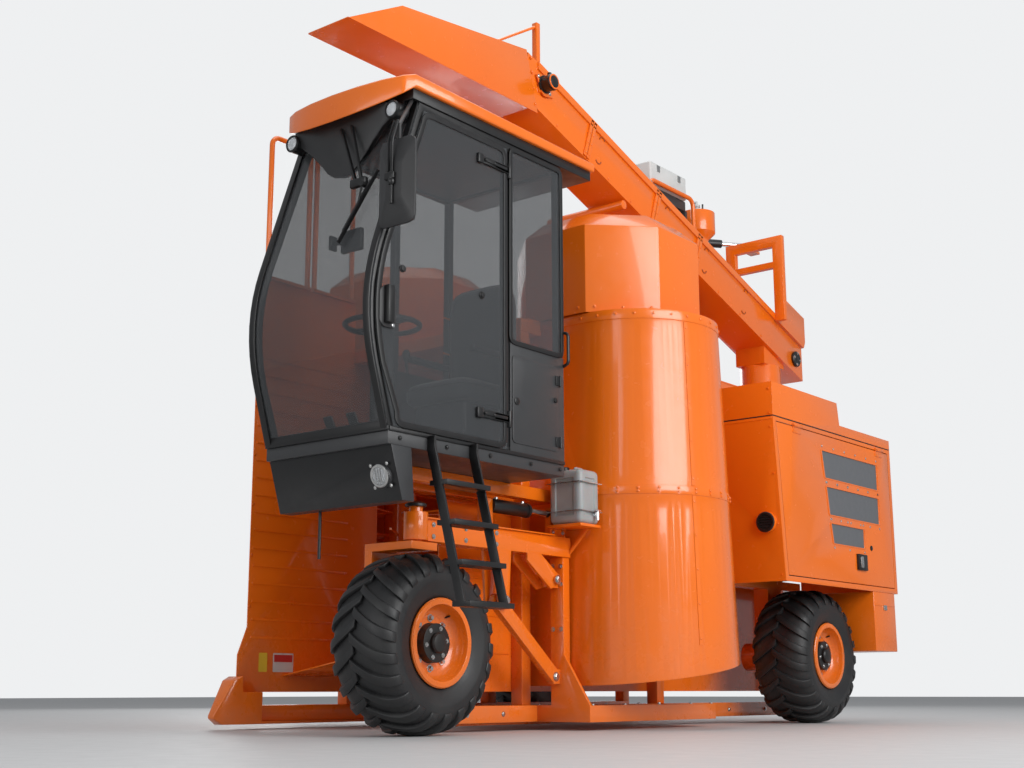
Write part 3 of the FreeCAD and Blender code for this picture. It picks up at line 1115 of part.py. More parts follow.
def boom_yoke():
    """The portal over the tail of the boom that the slewing cylinder turns."""
    deep = ("yoke_y - yoke_deep/2", "yoke_y + yoke_deep/2")
    near_face, far_face = "(boom_near + boom_lip)", f"({BOOM_FAR} - boom_lip)"
    near = box((near_face, f"{near_face} + yoke_side"), deep, ("yoke_low", "yoke_top"))
    far = box((f"{far_face} - yoke_side", far_face), deep, ("yoke_low", "yoke_top"))
    top = box((far_face, near_face), deep, ("yoke_top - yoke_side", "yoke_top"))
    waist = "(yoke_low + yoke_top)*0.513"
    middle = box((far_face, near_face), deep, (waist, f"{waist} + yoke_side*0.6"))
    rear = "(boom_tail_y + gusset*2)"
    outline = [("yoke_y", "yoke_low"), ("yoke_y", "gusset_top"), ("yoke_y + yoke_side*2", "gusset_top"),
               (rear, f"{boom_top('boom_tail_y')} + yoke_side*2.4"), (rear, "boom_tail_z"),
               ("boom_tail_y", "boom_tail_z - lip_deep")]
    gussets = [plate("YZ", outline, near_face, f"{near_face} + gusset"),
               plate("YZ", outline, f"{far_face} - gusset", far_face)]
    arm = box(("slew_eye_x - yoke_side/2", "slew_eye_x + yoke_side/2"),
              ("yoke_y", "slew_eye_y + yoke_side/2"), ("yoke_top - foot_plate", "yoke_top"))
    pin = round_bar("Z", ("slew_eye_x", "slew_eye_y", "yoke_top"), "slew_eye_pin",
                    "slew_lift + slew_barrel_radius")
    return node("boom_yoke", join([near, far, top, middle, arm, pin] + gussets))


def slew_gear():
    """Turntable under the boom, and the mast that anchors the slewing cylinder."""
    ring = round_bar("Z", ("slew_x", "slew_y", DECK_TOP), "slew_radius",
                     f"foot_low - bearing_gap - {DECK_TOP}")
    socket = round_bar("Z", ("slew_x", "slew_y", "foot_low - slew_pin - 1"),
                       "king_barrel_radius + king_gap", "slew_pin*2")
    bed = box(("slew_x - slew_radius*1.2", "slew_x + slew_radius*1.1"),
              ("slew_y - slew_radius", "tunnel_rear"), (DECK_TOP, f"{DECK_TOP} + foot_plate"))
    base = cut(join([ring, bed]), [socket])
    mast = box(("slew_barrel_x - yoke_side/2", "slew_barrel_x + yoke_side/2"),
               ("slew_barrel_y - yoke_side/2", "slew_barrel_y + yoke_side/2"), (DECK_TOP, "yoke_top"))
    pin = round_bar("Z", ("slew_barrel_x", "slew_barrel_y", "yoke_top"), "slew_rod_radius",
                    "slew_lift + slew_barrel_radius")
    return node("slew_stand", group([base, join([mast, pin])]))


def slew_cylinder():
    """Barrel on the mast's pin and rod to the yoke's pin, both level."""
    height = "yoke_top + slew_lift"
    base, eye = ("slew_barrel_x", "slew_barrel_y", height), ("slew_eye_x", "slew_eye_y", height)
    along = (place(eye) - place(base)).normalize()
    reach = place(base).distanceToPoint(place(eye))
    knuckle, wall = size("slew_barrel_radius"), size("slew_rod_radius")

    def eye_ring(centre, hole_radius):
        thick = VECTOR(0, 0, wall)
        ring = Part.makeCylinder(knuckle, 2 * wall, place(centre) - thick, VECTOR(0, 0, 1))
        hole = Part.makeCylinder(hole_radius, 4 * wall, place(centre) - thick * 2, VECTOR(0, 0, 1))
        return ring, hole
    ring, hole = eye_ring(base, size("slew_rod_radius + king_gap"))
    start = place(base) + along * knuckle * 0.9
    tube = Part.makeCylinder(knuckle, size("slew_barrel_length"), start, along)
    bore = Part.makeCylinder(wall + size("king_gap"), size("slew_barrel_length"),
                             start + along * wall, along)
    node("slew_barrel", solid(ring.fuse(tube.cut(bore)).cut(hole)))
    ring, hole = eye_ring(eye, size("slew_eye_pin + slew_eye_gap"))
    inside = size("slew_rod_inside")
    rod_length = reach - knuckle * 1.8 - size("slew_barrel_length") + inside
    rod = Part.makeCylinder(wall, rod_length, place(eye) - along * (knuckle * 0.9 + rod_length), along)
    return node("slew_rod", solid(ring.fuse(rod).cut(hole)))


def boom_rest():
    """The post and cross tube that the parked boom lies over."""
    below = f"({boom_top('rest_y + rest_radius')} - {BOOM_DROP} - rest_gap - rest_radius)"
    post = round_bar("Z", ("rest_post_x", "rest_y", DECK_TOP), "rest_radius", f"{below} - {DECK_TOP}")
    tube = round_bar("X", ("rest_post_x", "rest_y", below), "rest_radius", "boom_near - rest_post_x")
    elbow = doc.addObject("Part::Sphere", "elbow")
    bind(elbow, "Radius", "rest_radius")
    for name, text in zip("xyz", ("rest_post_x", "rest_y", below)):
        bind(elbow, f"Placement.Base.{name}", text)
    return node("boom_rest", join([post, tube, elbow]))


# ---- access, tank, mirror, lamps, rails ---------------------------------------------------------

def ladder():
    """Two leaning rails with flat steps, hooked on the cab floor."""
    def centre(height):
        return (f"(ladder_top_x + (ladder_low_x - ladder_top_x)*(ladder_top_z - ({height}))"
                "/(ladder_top_z - ladder_low_z))")
    half = "ladder_rail*0.6"
    outline = [("cab_left", "cab_floor_low"), ("cab_left", "cab_floor"),
               (f"ladder_top_x + {half}", "cab_floor"),
               (f"ladder_top_x + {half}", "ladder_top_z"), (f"ladder_low_x + {half}", "ladder_low_z"),
               (f"ladder_low_x - {half}", "ladder_low_z"), (f"ladder_top_x - {half}", "cab_floor_low")]
    rear = "ladder_front + ladder_width"
    pieces = [plate("XZ", outline, "ladder_front", "ladder_front + ladder_plate"),
              plate("XZ", outline, f"{rear} - ladder_plate", rear)]
    for index in range(int(size("ladder_steps"))):
        height = f"(ladder_low_z + {index}*(ladder_top_z - ladder_low_z)/ladder_steps)"
        middle = centre(height)
        pieces.append(box((f"{middle} - ladder_step/2", f"{middle} + ladder_step/2"),
                          ("ladder_front", rear), (height, f"{height} + ladder_tread")))
    return node("ladder", join(pieces))


def water_tank():
    can = box((TANK_INNER, f"{TANK_INNER} + tank_width"), ("tank_front", "tank_front + tank_length"),
              ("tank_low", "tank_low + tank_height"))
    return node("water_tank", can)


def mirror_and_lamps():
    half = "mirror_width/2"
    case = box((f"mirror_x - {half}", f"mirror_x + {half}"), ("mirror_y - mirror_deep", "mirror_y"),
               ("mirror_low", "mirror_top"))
    root = ("cab_left - pillar/2", "roof_front + roof_bow + pillar/2", "roof_low")
    elbow = ("mirror_x", "mirror_y - mirror_deep/2", "mirror_top + pillar*2")
    tip = ("mirror_x", "mirror_y - mirror_deep/2", "mirror_top")
    knee = doc.addObject("Part::Sphere", "knee")
    bind(knee, "Radius", "mirror_arm")
    for name, text in zip("xyz", elbow):
        bind(knee, f"Placement.Base.{name}", text)
    above = box(("cab_right", "cab_left + roof_out*2"), ("roof_front", "cab_rear"), ("roof_low", ROOF_TOP))
    arm = cut(join([strut(root, elbow, "mirror_arm"), knee, strut(elbow, tip, "mirror_arm")]), [above])
    node("rear_view_mirror", join([case, arm]))
    lamps = []
    for x in ("cab_right + lamp_in", "cab_left - lamp_in"):
        body = round_bar("Y", (x, "lamp_y", "lamp_z"), "lamp_radius", "lamp_deep")
        stem = box((f"{x} - pillar/4", f"{x} + pillar/4"),
                   ("lamp_y + lamp_deep - pillar/8", "lamp_y + lamp_deep + pillar/2"),
                   ("lamp_z + lamp_radius/2", "roof_low"))
        lamps.append(join([body, stem]))
    return node("work_lamps", group(lamps))


def handrails():
    """Loops of tube that stand on the right front shield."""
    wall_middle = "-(tunnel_half + wall/2)"
    front = "right_wall_front + rail_in"
    loops = []
    for start in (front, f"{front} + rail_loop + rail_in"):
        loop = tube_path([(wall_middle, start, "shield_top + rail_foot"), (wall_middle, start, "rail_head"),
                          (wall_middle, f"{start} + rail_loop", "rail_head"),
                          (wall_middle, f"{start} + rail_loop", "shield_top + rail_foot")],
                         size("rail_tube"), size("guard_bend"))
        foot = box((f"{wall_middle} - rail_foot", f"{wall_middle} + rail_foot"),
                   (f"{start} - rail_foot", f"{start} + rail_loop + rail_foot"),
                   ("shield_top", "shield_top + rail_foot"))
        loops.append(join([loop, foot]))
    return node("handrails", group(loops))


def build():
    lower_rails()
    frame_posts()
    top_frame()
    tunnel_walls()
    crop_dividers()
    catcher_plates()
    rotor_housings()
    rotors()
    rotor_covers()
    top_deck()
    wheels()
    front_knuckle()
    front_arm()
    front_mast()
    lower_link()
    level_cylinder()
    rear_frames()
    cab_floor()
    cab_mounts()
    cab_frame()
    windshield()
    cab_windows()
    cab_panels()
    cab_roof()
    door()
    seat()
    controls()
    engine_hood()
    tank_housing()
    engine_block()
    fuel_tank()
    rear_box()
    cooler()
    fan()
    boom()
    spout()
    spout_stay()
    boom_yoke()
    slew_gear()
    slew_cylinder()
    boom_rest()
    ladder()
    water_tank()
    mirror_and_lamps()
    handrails()


def write_parts():
    """Check every object, then write one file for each node."""
    doc.recompute()
    failed = [item.Label for item in doc.Objects if {"Invalid", "Error"} & set(item.State)]
    broken = [item.Label for item in NODES if item.Shape.isNull() or not item.Shape.isValid()]
    if failed or broken:
        raise RuntimeError(f"failed: {failed} broken: {broken}")
    os.makedirs("parts", exist_ok=True)
    for item in NODES:
        item.Shape.exportStep(f"parts/{item.Label}.step")
    print(len(NODES), "nodes written")


build()
write_parts()
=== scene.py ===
"""Finish and fittings of the self-propelled coffee harvester."""

import json
import math

import bmesh
import bpy
from mathutils import Euler, Matrix, Vector

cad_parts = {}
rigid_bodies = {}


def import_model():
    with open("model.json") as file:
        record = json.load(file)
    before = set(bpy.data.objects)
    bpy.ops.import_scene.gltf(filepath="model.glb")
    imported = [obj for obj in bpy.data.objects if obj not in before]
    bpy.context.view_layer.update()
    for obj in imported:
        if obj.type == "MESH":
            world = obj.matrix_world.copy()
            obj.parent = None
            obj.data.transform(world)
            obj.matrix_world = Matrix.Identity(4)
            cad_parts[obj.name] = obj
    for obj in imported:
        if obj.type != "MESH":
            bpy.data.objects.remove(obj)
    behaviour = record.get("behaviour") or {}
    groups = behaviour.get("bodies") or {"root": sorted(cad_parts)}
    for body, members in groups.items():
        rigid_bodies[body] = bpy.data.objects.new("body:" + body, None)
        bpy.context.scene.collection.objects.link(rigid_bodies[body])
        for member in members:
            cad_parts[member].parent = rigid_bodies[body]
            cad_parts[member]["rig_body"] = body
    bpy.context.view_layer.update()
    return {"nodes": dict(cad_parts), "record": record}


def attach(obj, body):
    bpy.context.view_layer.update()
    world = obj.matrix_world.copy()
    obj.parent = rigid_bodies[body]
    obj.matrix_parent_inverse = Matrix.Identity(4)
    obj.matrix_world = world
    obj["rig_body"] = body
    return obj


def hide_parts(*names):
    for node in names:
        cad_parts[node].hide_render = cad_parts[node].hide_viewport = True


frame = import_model()
NODES = frame["nodes"]
MM = 0.001

# The machine faces -Y and its left side is +X.
LEFT, RIGHT = (1, 0, 0), (-1, 0, 0)
FRONT, REAR = (0, -1, 0), (0, 1, 0)
UP = (0, 0, 1)

# Radius and height of the heads: round ones on sheet, hexagons on the frame.
SCREW, SHEET_BOLT, PANEL_BOLT = (0.006, 0.004), (0.007, 0.005), (0.008, 0.006)
HUB_HEX, FRAME_HEX, RAIL_HEX = (0.008, 0.007), (0.009, 0.007), (0.010, 0.008)


# ---- modelling helpers -------------------------------------------------------------------------

def only(piece):
    """Select one object and nothing else."""
    bpy.ops.object.select_all(action="DESELECT")
    piece.select_set(True)
    bpy.context.view_layer.objects.active = piece


def settled(piece):
    """Put a piece's place into its mesh."""
    only(piece)
    bpy.ops.object.transform_apply(location=True, rotation=True, scale=True)
    return piece


def block(low, high):
    """A box between two corners."""
    low, high = Vector(low), Vector(high)
    bpy.ops.mesh.primitive_cube_add(size=1, location=(low + high) / 2)
    piece = bpy.context.object
    piece.scale = high - low
    return settled(piece)


def disc(centre, axis, radius, depth, sides=24):
    """A cylinder centred on a point, along a direction."""
    turn = Vector(axis).to_track_quat("Z", "Y").to_euler()
    bpy.ops.mesh.primitive_cylinder_add(vertices=sides, radius=radius, depth=depth, location=centre,
                                        rotation=turn)
    return settled(bpy.context.object)


def turned_outwards(piece):
    """Turn every face of a mesh outwards and leave edit mode."""
    bpy.ops.mesh.select_all(action="SELECT")
    bpy.ops.mesh.normals_make_consistent(inside=False)
    bpy.ops.object.mode_set(mode="OBJECT")
    return piece


def traced(outline, fill="NOTHING"):
    """A ring of corners, one at each point of an outline, left in edit mode."""
    bpy.ops.mesh.primitive_circle_add(vertices=len(outline), fill_type=fill)
    piece = bpy.context.object
    bpy.ops.object.mode_set(mode="EDIT")
    mesh = bmesh.from_edit_mesh(piece.data)
    for corner, spot in zip(mesh.verts, outline):
        corner.co = spot
    mesh.normal_update()
    bmesh.update_edit_mesh(piece.data)
    return piece


def swept(rings):
    """A solid through rings of equally many points, each extruded from the one before."""
    bpy.ops.mesh.primitive_circle_add(vertices=len(rings[0]), fill_type="NGON")
    piece = bpy.context.object
    bpy.ops.object.mode_set(mode="EDIT")
    bpy.ops.mesh.select_mode(type="FACE")
    bpy.ops.mesh.select_all(action="SELECT")
    for index, ring in enumerate(rings):
        if index:
            bpy.ops.mesh.extrude_region_move()
        mesh = bmesh.from_edit_mesh(piece.data)
        face = next(item for item in mesh.faces if item.select)
        for corner, spot in zip(face.verts, ring):
            corner.co = spot
        bmesh.update_edit_mesh(piece.data)
    return turned_outwards(piece)


def slab(outline, push):
    """A flat outline pushed along a direction."""
    push = Vector(push)
    return swept([[Vector(spot) for spot in outline], [Vector(spot) + push for spot in outline]])


def spun(profile, centre, axis, steps=48):
    """A closed profile of (along the axis, radius) turned all the way round."""
    axis, centre = Vector(axis).normalized(), Vector(centre)
    side = axis.orthogonal().normalized()
    piece = traced([centre + axis * along + side * radius for along, radius in profile])
    bpy.ops.mesh.select_all(action="SELECT")
    bpy.ops.mesh.spin(steps=steps, angle=2 * math.pi, center=centre, axis=axis)
    bpy.ops.mesh.select_all(action="SELECT")
    bpy.ops.mesh.remove_doubles(threshold=1e-5)
    return turned_outwards(piece)


def corner_arc(corner, back, ahead, bend, share, steps):
    """Points that turn a corner into an arc, within a share of the runs before and after it."""
    reach = min(bend, back.length * share, ahead.length * share)
    start, end = corner + back.normalized() * reach, corner + ahead.normalized() * reach
    return [start * (1 - t) ** 2 + corner * 2 * t * (1 - t) + end * t ** 2
            for t in (step / steps for step in range(steps + 1))]


def rounded_path(points, bend, steps=5):
    """A path whose inner corners are turned into arcs."""
    spots = [Vector(point) for point in points]
    path = [spots[0]]
    for before, corner, after in zip(spots, spots[1:], spots[2:]):
        path += corner_arc(corner, before - corner, after - corner, bend, 0.48, steps)
    path.append(spots[-1])
    return path


def tube(points, radius, bend=0.03, sides=12, closed=False):
    """A round tube along a path, as a mesh."""
    path = rounded_path(points, bend)
    line = bpy.data.curves.new("tube", "CURVE")
    line.dimensions = "3D"
    line.bevel_depth = radius
    line.bevel_resolution = sides // 4
    line.use_fill_caps = True
    spline = line.splines.new("POLY")
    spline.points.add(len(path) - 1)
    for point, spot in zip(spline.points, path):
        point.co = (*spot, 1)
    spline.use_cyclic_u = closed
    piece = bpy.data.objects.new("tube", line)
    bpy.context.scene.collection.objects.link(piece)
    only(piece)
    bpy.ops.object.convert(target="MESH")
    return piece


def joined(pieces):
    """Several pieces as one mesh."""
    bpy.ops.object.select_all(action="DESELECT")
    for piece in pieces:
        piece.select_set(True)
    bpy.context.view_layer.objects.active = pieces[0]
    if len(pieces) > 1:
        bpy.ops.object.join()
    return pieces[0]


def copied(piece, matrix):
    """A copy with a mesh of its own, moved by a matrix."""
    twin = bpy.data.objects.new(piece.name, piece.data.copy())
    bpy.context.scene.collection.objects.link(twin)
    twin.data.transform(matrix)
    if matrix.determinant() < 0:
        twin.data.flip_normals()
    return twin


def bevelled(piece, width, segments=2, angle=32):
    """Round the sharp edges of a piece."""
    only(piece)
    edge = piece.modifiers.new("edges", "BEVEL")
    edge.width = width
    edge.segments = segments
    edge.limit_method = "ANGLE"
    edge.angle_limit = math.radians(angle)
    edge.harden_normals = False
    bpy.ops.object.modifier_apply(modifier=edge.name)
    return piece


def smoothed(piece, angle=32):
    only(piece)
    bpy.ops.object.shade_smooth_by_angle(angle=math.radians(angle))
    return piece


def fitted(piece, name, finish, body="root", stands_for=(), angle=32):
    """Name a finished piece, give it its finish and let it ride on its body."""
    piece.name = name
    piece.data.name = name
    piece.data.materials.clear()
    piece.data.materials.append(finish)
    smoothed(piece, angle)
    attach(piece, body)
    if stands_for:
        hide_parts(*stands_for)
    return piece


def tagged(name, place):
    """A name that ends in a place in millimetres."""
    return "%s_%d" % (name, round(place * 1000))


def body_of_node(node):
    return NODES[node]["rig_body"]


def cad_copy(node):
    """A clean copy of a CAD piece: merged, with its flat faces made whole again."""
    twin = bpy.data.objects.new(node + "_shape", NODES[node].data.copy())
    bpy.context.scene.collection.objects.link(twin)
    only(twin)
    bpy.ops.object.mode_set(mode="EDIT")
    bpy.ops.mesh.select_all(action="SELECT")
    bpy.ops.mesh.remove_doubles(threshold=2e-5)
    bpy.ops.mesh.dissolve_limited(angle_limit=math.radians(0.6))
    bpy.ops.object.mode_set(mode="OBJECT")
    return twin


def dressed(node, finish, edge=0.003, segments=2):
    """A CAD piece with its edges rounded as on folded or ground metal."""
    twin = cad_copy(node)
    if edge:
        bevelled(twin, edge, segments)
    return fitted(twin, node + "_dressed", finish, body_of_node(node), stands_for=(node,))


def rounded_outline(points, bend, steps=4):
    """A closed outline whose corners are turned into arcs."""
    spots = [Vector(point) for point in points]
    outline = []
    for index, corner in enumerate(spots):
        back, ahead = spots[index - 1] - corner, spots[(index + 1) % len(spots)] - corner
        outline += corner_arc(corner, back, ahead, bend, 0.45, steps)
    return outline


def border(outline, width, push):
    """A band along the inside of a flat closed outline, pushed along a direction."""
    piece = traced(outline, "NGON")
    bpy.ops.mesh.select_mode(type="FACE")
    bpy.ops.mesh.select_all(action="SELECT")
    bpy.ops.mesh.inset(thickness=width, depth=0)
    bpy.ops.mesh.delete(type="ONLY_FACE")
    bpy.ops.mesh.select_all(action="SELECT")
    bpy.ops.mesh.extrude_region_move()
    mesh = bmesh.from_edit_mesh(piece.data)
    for corner in mesh.verts:
        if corner.select:
            corner.co += Vector(push)
    bmesh.update_edit_mesh(piece.data)
    return turned_outwards(piece)


def on_side(x, points):
    """Points of a side view, given as (y, z), placed at one x."""
    return [Vector((x, y, z)) for y, z in points]


def upright(x, front, rear, low, high):
    """The four corners of an upright rectangle at one x."""
    return on_side(x, ((front, low), (front, high), (rear, high), (rear, low)))


def rounded_box(low, high, edge, segments=2):
    return bevelled(block(low, high), edge, segments)


def bar(start, end, width, depth, facing=UP):
    """A square bar between two points, width across and depth along its facing side."""
    start, end, facing = Vector(start), Vector(end), Vector(facing)
    across = (end - start).cross(facing).normalized() * width / 2
    lift = across.cross(end - start).normalized() * depth / 2
    return swept([[spot + across + lift, spot - across + lift, spot - across - lift, spot + across - lift]
                  for spot in (start, end)])


def strip(path, width, depth):
    """A flat strip along a path in side view: its width across the machine, its depth square to the path."""
    rings = []
    for index, spot in enumerate(path):
        before, after = path[max(index - 1, 0)], path[min(index + 1, len(path) - 1)]
        run = (after - before).normalized()
        out = Vector((0, -run.z, run.y)) * depth / 2
        across = Vector((width / 2, 0, 0))
        rings.append([spot + across + out, spot - across + out, spot - across - out, spot + across - out])
    return swept(rings)


def bolt(centre, axis, radius, height):
    """A domed bolt head on its washer."""
    axis, centre = Vector(axis).normalized(), Vector(centre)
    turn = axis.to_track_quat("Z", "Y").to_matrix()
    rings = []
    # Shares of the height and of the radius, from the washer up.
    for along, reach in ((0, 1.5), (0.22, 1.5), (0.22, 1), (0.7, 0.9), (1, 0.5)):
        rings.append([centre + turn @ Vector((reach * radius * math.cos(a), reach * radius * math.sin(a),
                                              along * height))
                      for a in (2 * math.pi * step / 10 for step in range(10))])
    return swept(rings)


def hexagon(centre, axis, radius, height):
    """A hexagon bolt head with a chamfered top, on its washer."""
    axis, centre = Vector(axis).normalized(), Vector(centre)
    turn = axis.to_track_quat("Z", "Y").to_matrix()
    rings = []
    # Shares of the height and of the radius, from the washer up, and how many corners show.
    for along, reach, corners in ((0, 1.45, 12), (0.18, 1.45, 12), (0.18, 1.0, 6), (0.85, 1.0, 6),
                                  (1.0, 0.86, 6)):
        ring = []
        for step in range(12):
            turned = 2 * math.pi * step / 12
            flat = math.cos(math.pi / 6) if corners == 6 and step % 2 else 1
            ring.append(centre + turn @ Vector((reach * radius * flat * math.cos(turned),
                                                reach * radius * flat * math.sin(turned), along * height)))
        rings.append(ring)
    return swept(rings)


def repeated(make, spots, axis, radius, height):
    """One head modelled once and copied to every spot."""
    spots = [Vector(spot) for spot in spots]
    first = make(spots[0], axis, radius, height)
    return joined([first] + [copied(first, Matrix.Translation(spot - spots[0])) for spot in spots[1:]])


def bolts(spots, axis, radius, height):
    return repeated(bolt, spots, axis, radius, height)


def hexagons(spots, axis, radius, height):
    return repeated(hexagon, spots, axis, radius, height)


def round_spots(centre, axis, radius, count, start=0.0):
    """Points evenly spaced on a circle."""
    axis, centre = Vector(axis).normalized(), Vector(centre)
    side = axis.orthogonal().normalized()
    return [centre + Matrix.Rotation(start + 2 * math.pi * step / count, 3, axis) @ side * radius
            for step in range(count)]


# ---- finishes ----------------------------------------------------------------------------------

NUMBER, COLOUR = "NodeSocketFloat", "NodeSocketColor"


def shader_group(name, inputs, build):
    """A node group with named inputs that gives a finish its colour, gloss and relief."""
    group = bpy.data.node_groups.new(name, "ShaderNodeTree")
    for label, kind, value in inputs:
        socket = group.interface.new_socket(label, in_out="INPUT", socket_type=kind)
        socket.default_value = value
    for label, kind in (("Colour", COLOUR), ("Roughness", NUMBER), ("Height", NUMBER)):
        group.interface.new_socket(label, in_out="OUTPUT", socket_type=kind)
    build(group, group.nodes.new("NodeGroupInput"), group.nodes.new("NodeGroupOutput"))
    return group


def added(tree, kind, **values):
    """A new node with its properties and unlinked inputs set."""
    made = tree.nodes.new(kind)
    for name, value in values.items():
        if name in made.inputs:
            made.inputs[name].default_value = value
        else:
            setattr(made, name, value)
    return made


def feed(tree, socket, value):
    """Link an output into a socket, or set the socket to a plain value."""
    if isinstance(value, bpy.types.NodeSocket):
        tree.links.new(value, socket)
    else:
        socket.default_value = value


def own_place(tree):
    """Coordinates that ride on the piece."""
    return tree.nodes.new("ShaderNodeTexCoord").outputs["Object"]


def noise(tree, scale, detail=2.0, rough=0.5):
    spots = added(tree, "ShaderNodeTexNoise", Detail=detail, Roughness=rough)
    feed(tree, spots.inputs["Vector"], own_place(tree))
    feed(tree, spots.inputs["Scale"], scale)
    return spots.outputs["Fac"]


def ramp(tree, value, start, end, low=0.0, high=1.0):
    """Stretch a value from start..end to low..high."""
    span = added(tree, "ShaderNodeMapRange")
    for name, number in (("Value", value), ("From Min", start), ("From Max", end), ("To Min", low),
                         ("To Max", high)):
        feed(tree, span.inputs[name], number)
    return span.outputs["Result"]


def spread(tree, value, low, high):
    """Stretch a noise, which keeps mostly to 0.3..0.7, to low..high."""
    return ramp(tree, value, 0.3, 0.7, low, high)


def blended(tree, share, first, second):
    """A colour between two, by a share."""
    mix = added(tree, "ShaderNodeMix", data_type="RGBA")
    feed(tree, mix.inputs["Factor"], share)
    feed(tree, mix.inputs[6], first)
    feed(tree, mix.inputs[7], second)
    return mix.outputs[2]


def worked(tree, operation, first, second):
    """The result of a sum on two values."""
    result = added(tree, "ShaderNodeMath", operation=operation)
    feed(tree, result.inputs[0], first)
    feed(tree, result.inputs[1], second)
    return result.outputs[0]


def cells(tree, scale, **values):
    """Distance to the nearest of many small cells."""
    made = added(tree, "ShaderNodeTexVoronoi", feature="F1", **values)
    feed(tree, made.inputs["Vector"], own_place(tree))
    feed(tree, made.inputs["Scale"], scale)
    return made.outputs["Distance"]


DUST = (0.30, 0.20, 0.13, 1)
DUST_HEIGHTS = (0.75, 0.05)


def coat_build(group, given, result):
    """Slow drift of tone, dust low on the machine and a faint ripple in the lacquer."""
    drift = noise(group, given.outputs["Drift scale"], 3)
    tone = spread(group, drift, 0.0, given.outputs["Drift"])
    varied = blended(group, tone, given.outputs["Colour"], given.outputs["Deep colour"])
    height = group.nodes.new("ShaderNodeSeparateXYZ")
    feed(group, height.inputs[0], own_place(group))
    lowness = ramp(group, height.outputs["Z"], *DUST_HEIGHTS)
    patches = spread(group, noise(group, 6.0, 6, 0.62), 0.0, given.outputs["Dust"])
    dusty = worked(group, "MULTIPLY", lowness, patches)
    gloss = spread(group, noise(group, 14.0, 4), given.outputs["Gloss low"], given.outputs["Gloss high"])
    feed(group, result.inputs["Colour"], blended(group, dusty, varied, DUST))
    feed(group, result.inputs["Roughness"], worked(group, "ADD", gloss, dusty))
    feed(group, result.inputs["Height"], noise(group, given.outputs["Ripple scale"], 2))


COAT = shader_group("lacquer_coat", [
    ("Colour", COLOUR, (0.8, 0.1, 0.0, 1)), ("Deep colour", COLOUR, (0.7, 0.1, 0.0, 1)),
    ("Drift", NUMBER, 0.4), ("Drift scale", NUMBER, 1.3), ("Dust", NUMBER, 0.25),
    ("Gloss low", NUMBER, 0.2), ("Gloss high", NUMBER, 0.3), ("Ripple scale", NUMBER, 240.0)], coat_build)


def grain_build(group, given, result):
    """Fine pits over soft waves, for moulded and cast surfaces."""
    waves = noise(group, 9.0, 3)
    tone = spread(group, waves, 0.0, 1.0)
    feed(group, result.inputs["Colour"],
         blended(group, tone, given.outputs["Colour"], given.outputs["Second colour"]))
    feed(group, result.inputs["Roughness"],
         spread(group, waves, given.outputs["Gloss low"], given.outputs["Gloss high"]))
    feed(group, result.inputs["Height"], cells(group, given.outputs["Scale"]))


GRAIN = shader_group("moulded_grain", [
    ("Colour", COLOUR, (0.02, 0.02, 0.02, 1)), ("Second colour", COLOUR, (0.03, 0.03, 0.03, 1)),
    ("Scale", NUMBER, 700.0), ("Gloss low", NUMBER, 0.4), ("Gloss high", NUMBER, 0.6)], grain_build)

# The holes' near-black colour is painted shade of the dark seen through them; the second colour is the
# sheet's grey.
HOLE_SHADE, SHEET = (0.012, 0.012, 0.013, 1), (0.15, 0.155, 0.165, 1)
HOLE_EDGE = (0.30, 0.36)


def grille_build(group, given, result):
    """Punched sheet: rows of round holes in grey metal, the holes painted near black as painted shade of the
    dark hood seen through them.
    """
    metal = ramp(group, cells(group, given.outputs["Scale"], Randomness=0.0), *HOLE_EDGE)
    feed(group, result.inputs["Colour"], blended(group, metal, HOLE_SHADE, SHEET))
    feed(group, result.inputs["Roughness"], spread(group, noise(group, 20.0), 0.40, 0.55))
    feed(group, result.inputs["Height"], metal)


PUNCHED = shader_group("punched_sheet", [("Scale", NUMBER, 140.0)], grille_build)


def finish_from(name, group, bump, **values):
    """A material whose colour, gloss and relief come from a shared group."""
    made = bpy.data.materials.new(name)
    made.use_nodes = True
    tree = made.node_tree
    shader = tree.nodes["Principled BSDF"]
    look = added(tree, "ShaderNodeGroup", node_tree=group)
    for label, value in values.items():
        label = label.replace("_", " ")
        if label in look.inputs:
            look.inputs[label].default_value = value
        else:
            shader.inputs[label].default_value = value
    tree.links.new(look.outputs["Colour"], shader.inputs["Base Color"])
    tree.links.new(look.outputs["Roughness"], shader.inputs["Roughness"])
    relief = added(tree, "ShaderNodeBump", Strength=bump[0], Distance=bump[1])
    tree.links.new(look.outputs["Height"], relief.inputs["Height"])
    tree.links.new(relief.outputs["Normal"], shader.inputs["Normal"])
    return made


ORANGE = finish_from("orange_lacquer", COAT, (0.08, 0.0006), Colour=(0.84, 0.165, 0.006, 1),
                     Deep_colour=(0.78, 0.140, 0.004, 1), Drift=0.5, Gloss_low=0.20, Gloss_high=0.28,
                     Dust=0.16, Coat_Weight=0.45, Coat_Roughness=0.05)
CAB_GREY = finish_from("cab_grey_lacquer", COAT, (0.10, 0.0006), Colour=(0.040, 0.041, 0.043, 1),
                       Deep_colour=(0.030, 0.031, 0.033, 1), Gloss_low=0.34, Gloss_high=0.44, Dust=0.2)
BLACK = finish_from("black_lacquer", COAT, (0.10, 0.0006), Colour=(0.0065, 0.0065, 0.0070, 1),
                    Deep_colour=(0.0045, 0.0045, 0.0050, 1), Gloss_low=0.32, Gloss_high=0.42, Dust=0.1)
PLASTIC = finish_from("black_moulding", GRAIN, (0.25, 0.0004), Colour=(0.018, 0.018, 0.019, 1),
                      Second_colour=(0.026, 0.026, 0.027, 1), Gloss_low=0.38, Gloss_high=0.50)
RUBBER = finish_from("tyre_rubber", GRAIN, (0.35, 0.0008), Colour=(0.010, 0.010, 0.011, 1),
                     Second_colour=(0.017, 0.017, 0.017, 1), Scale=420.0, Gloss_low=0.40, Gloss_high=0.58)
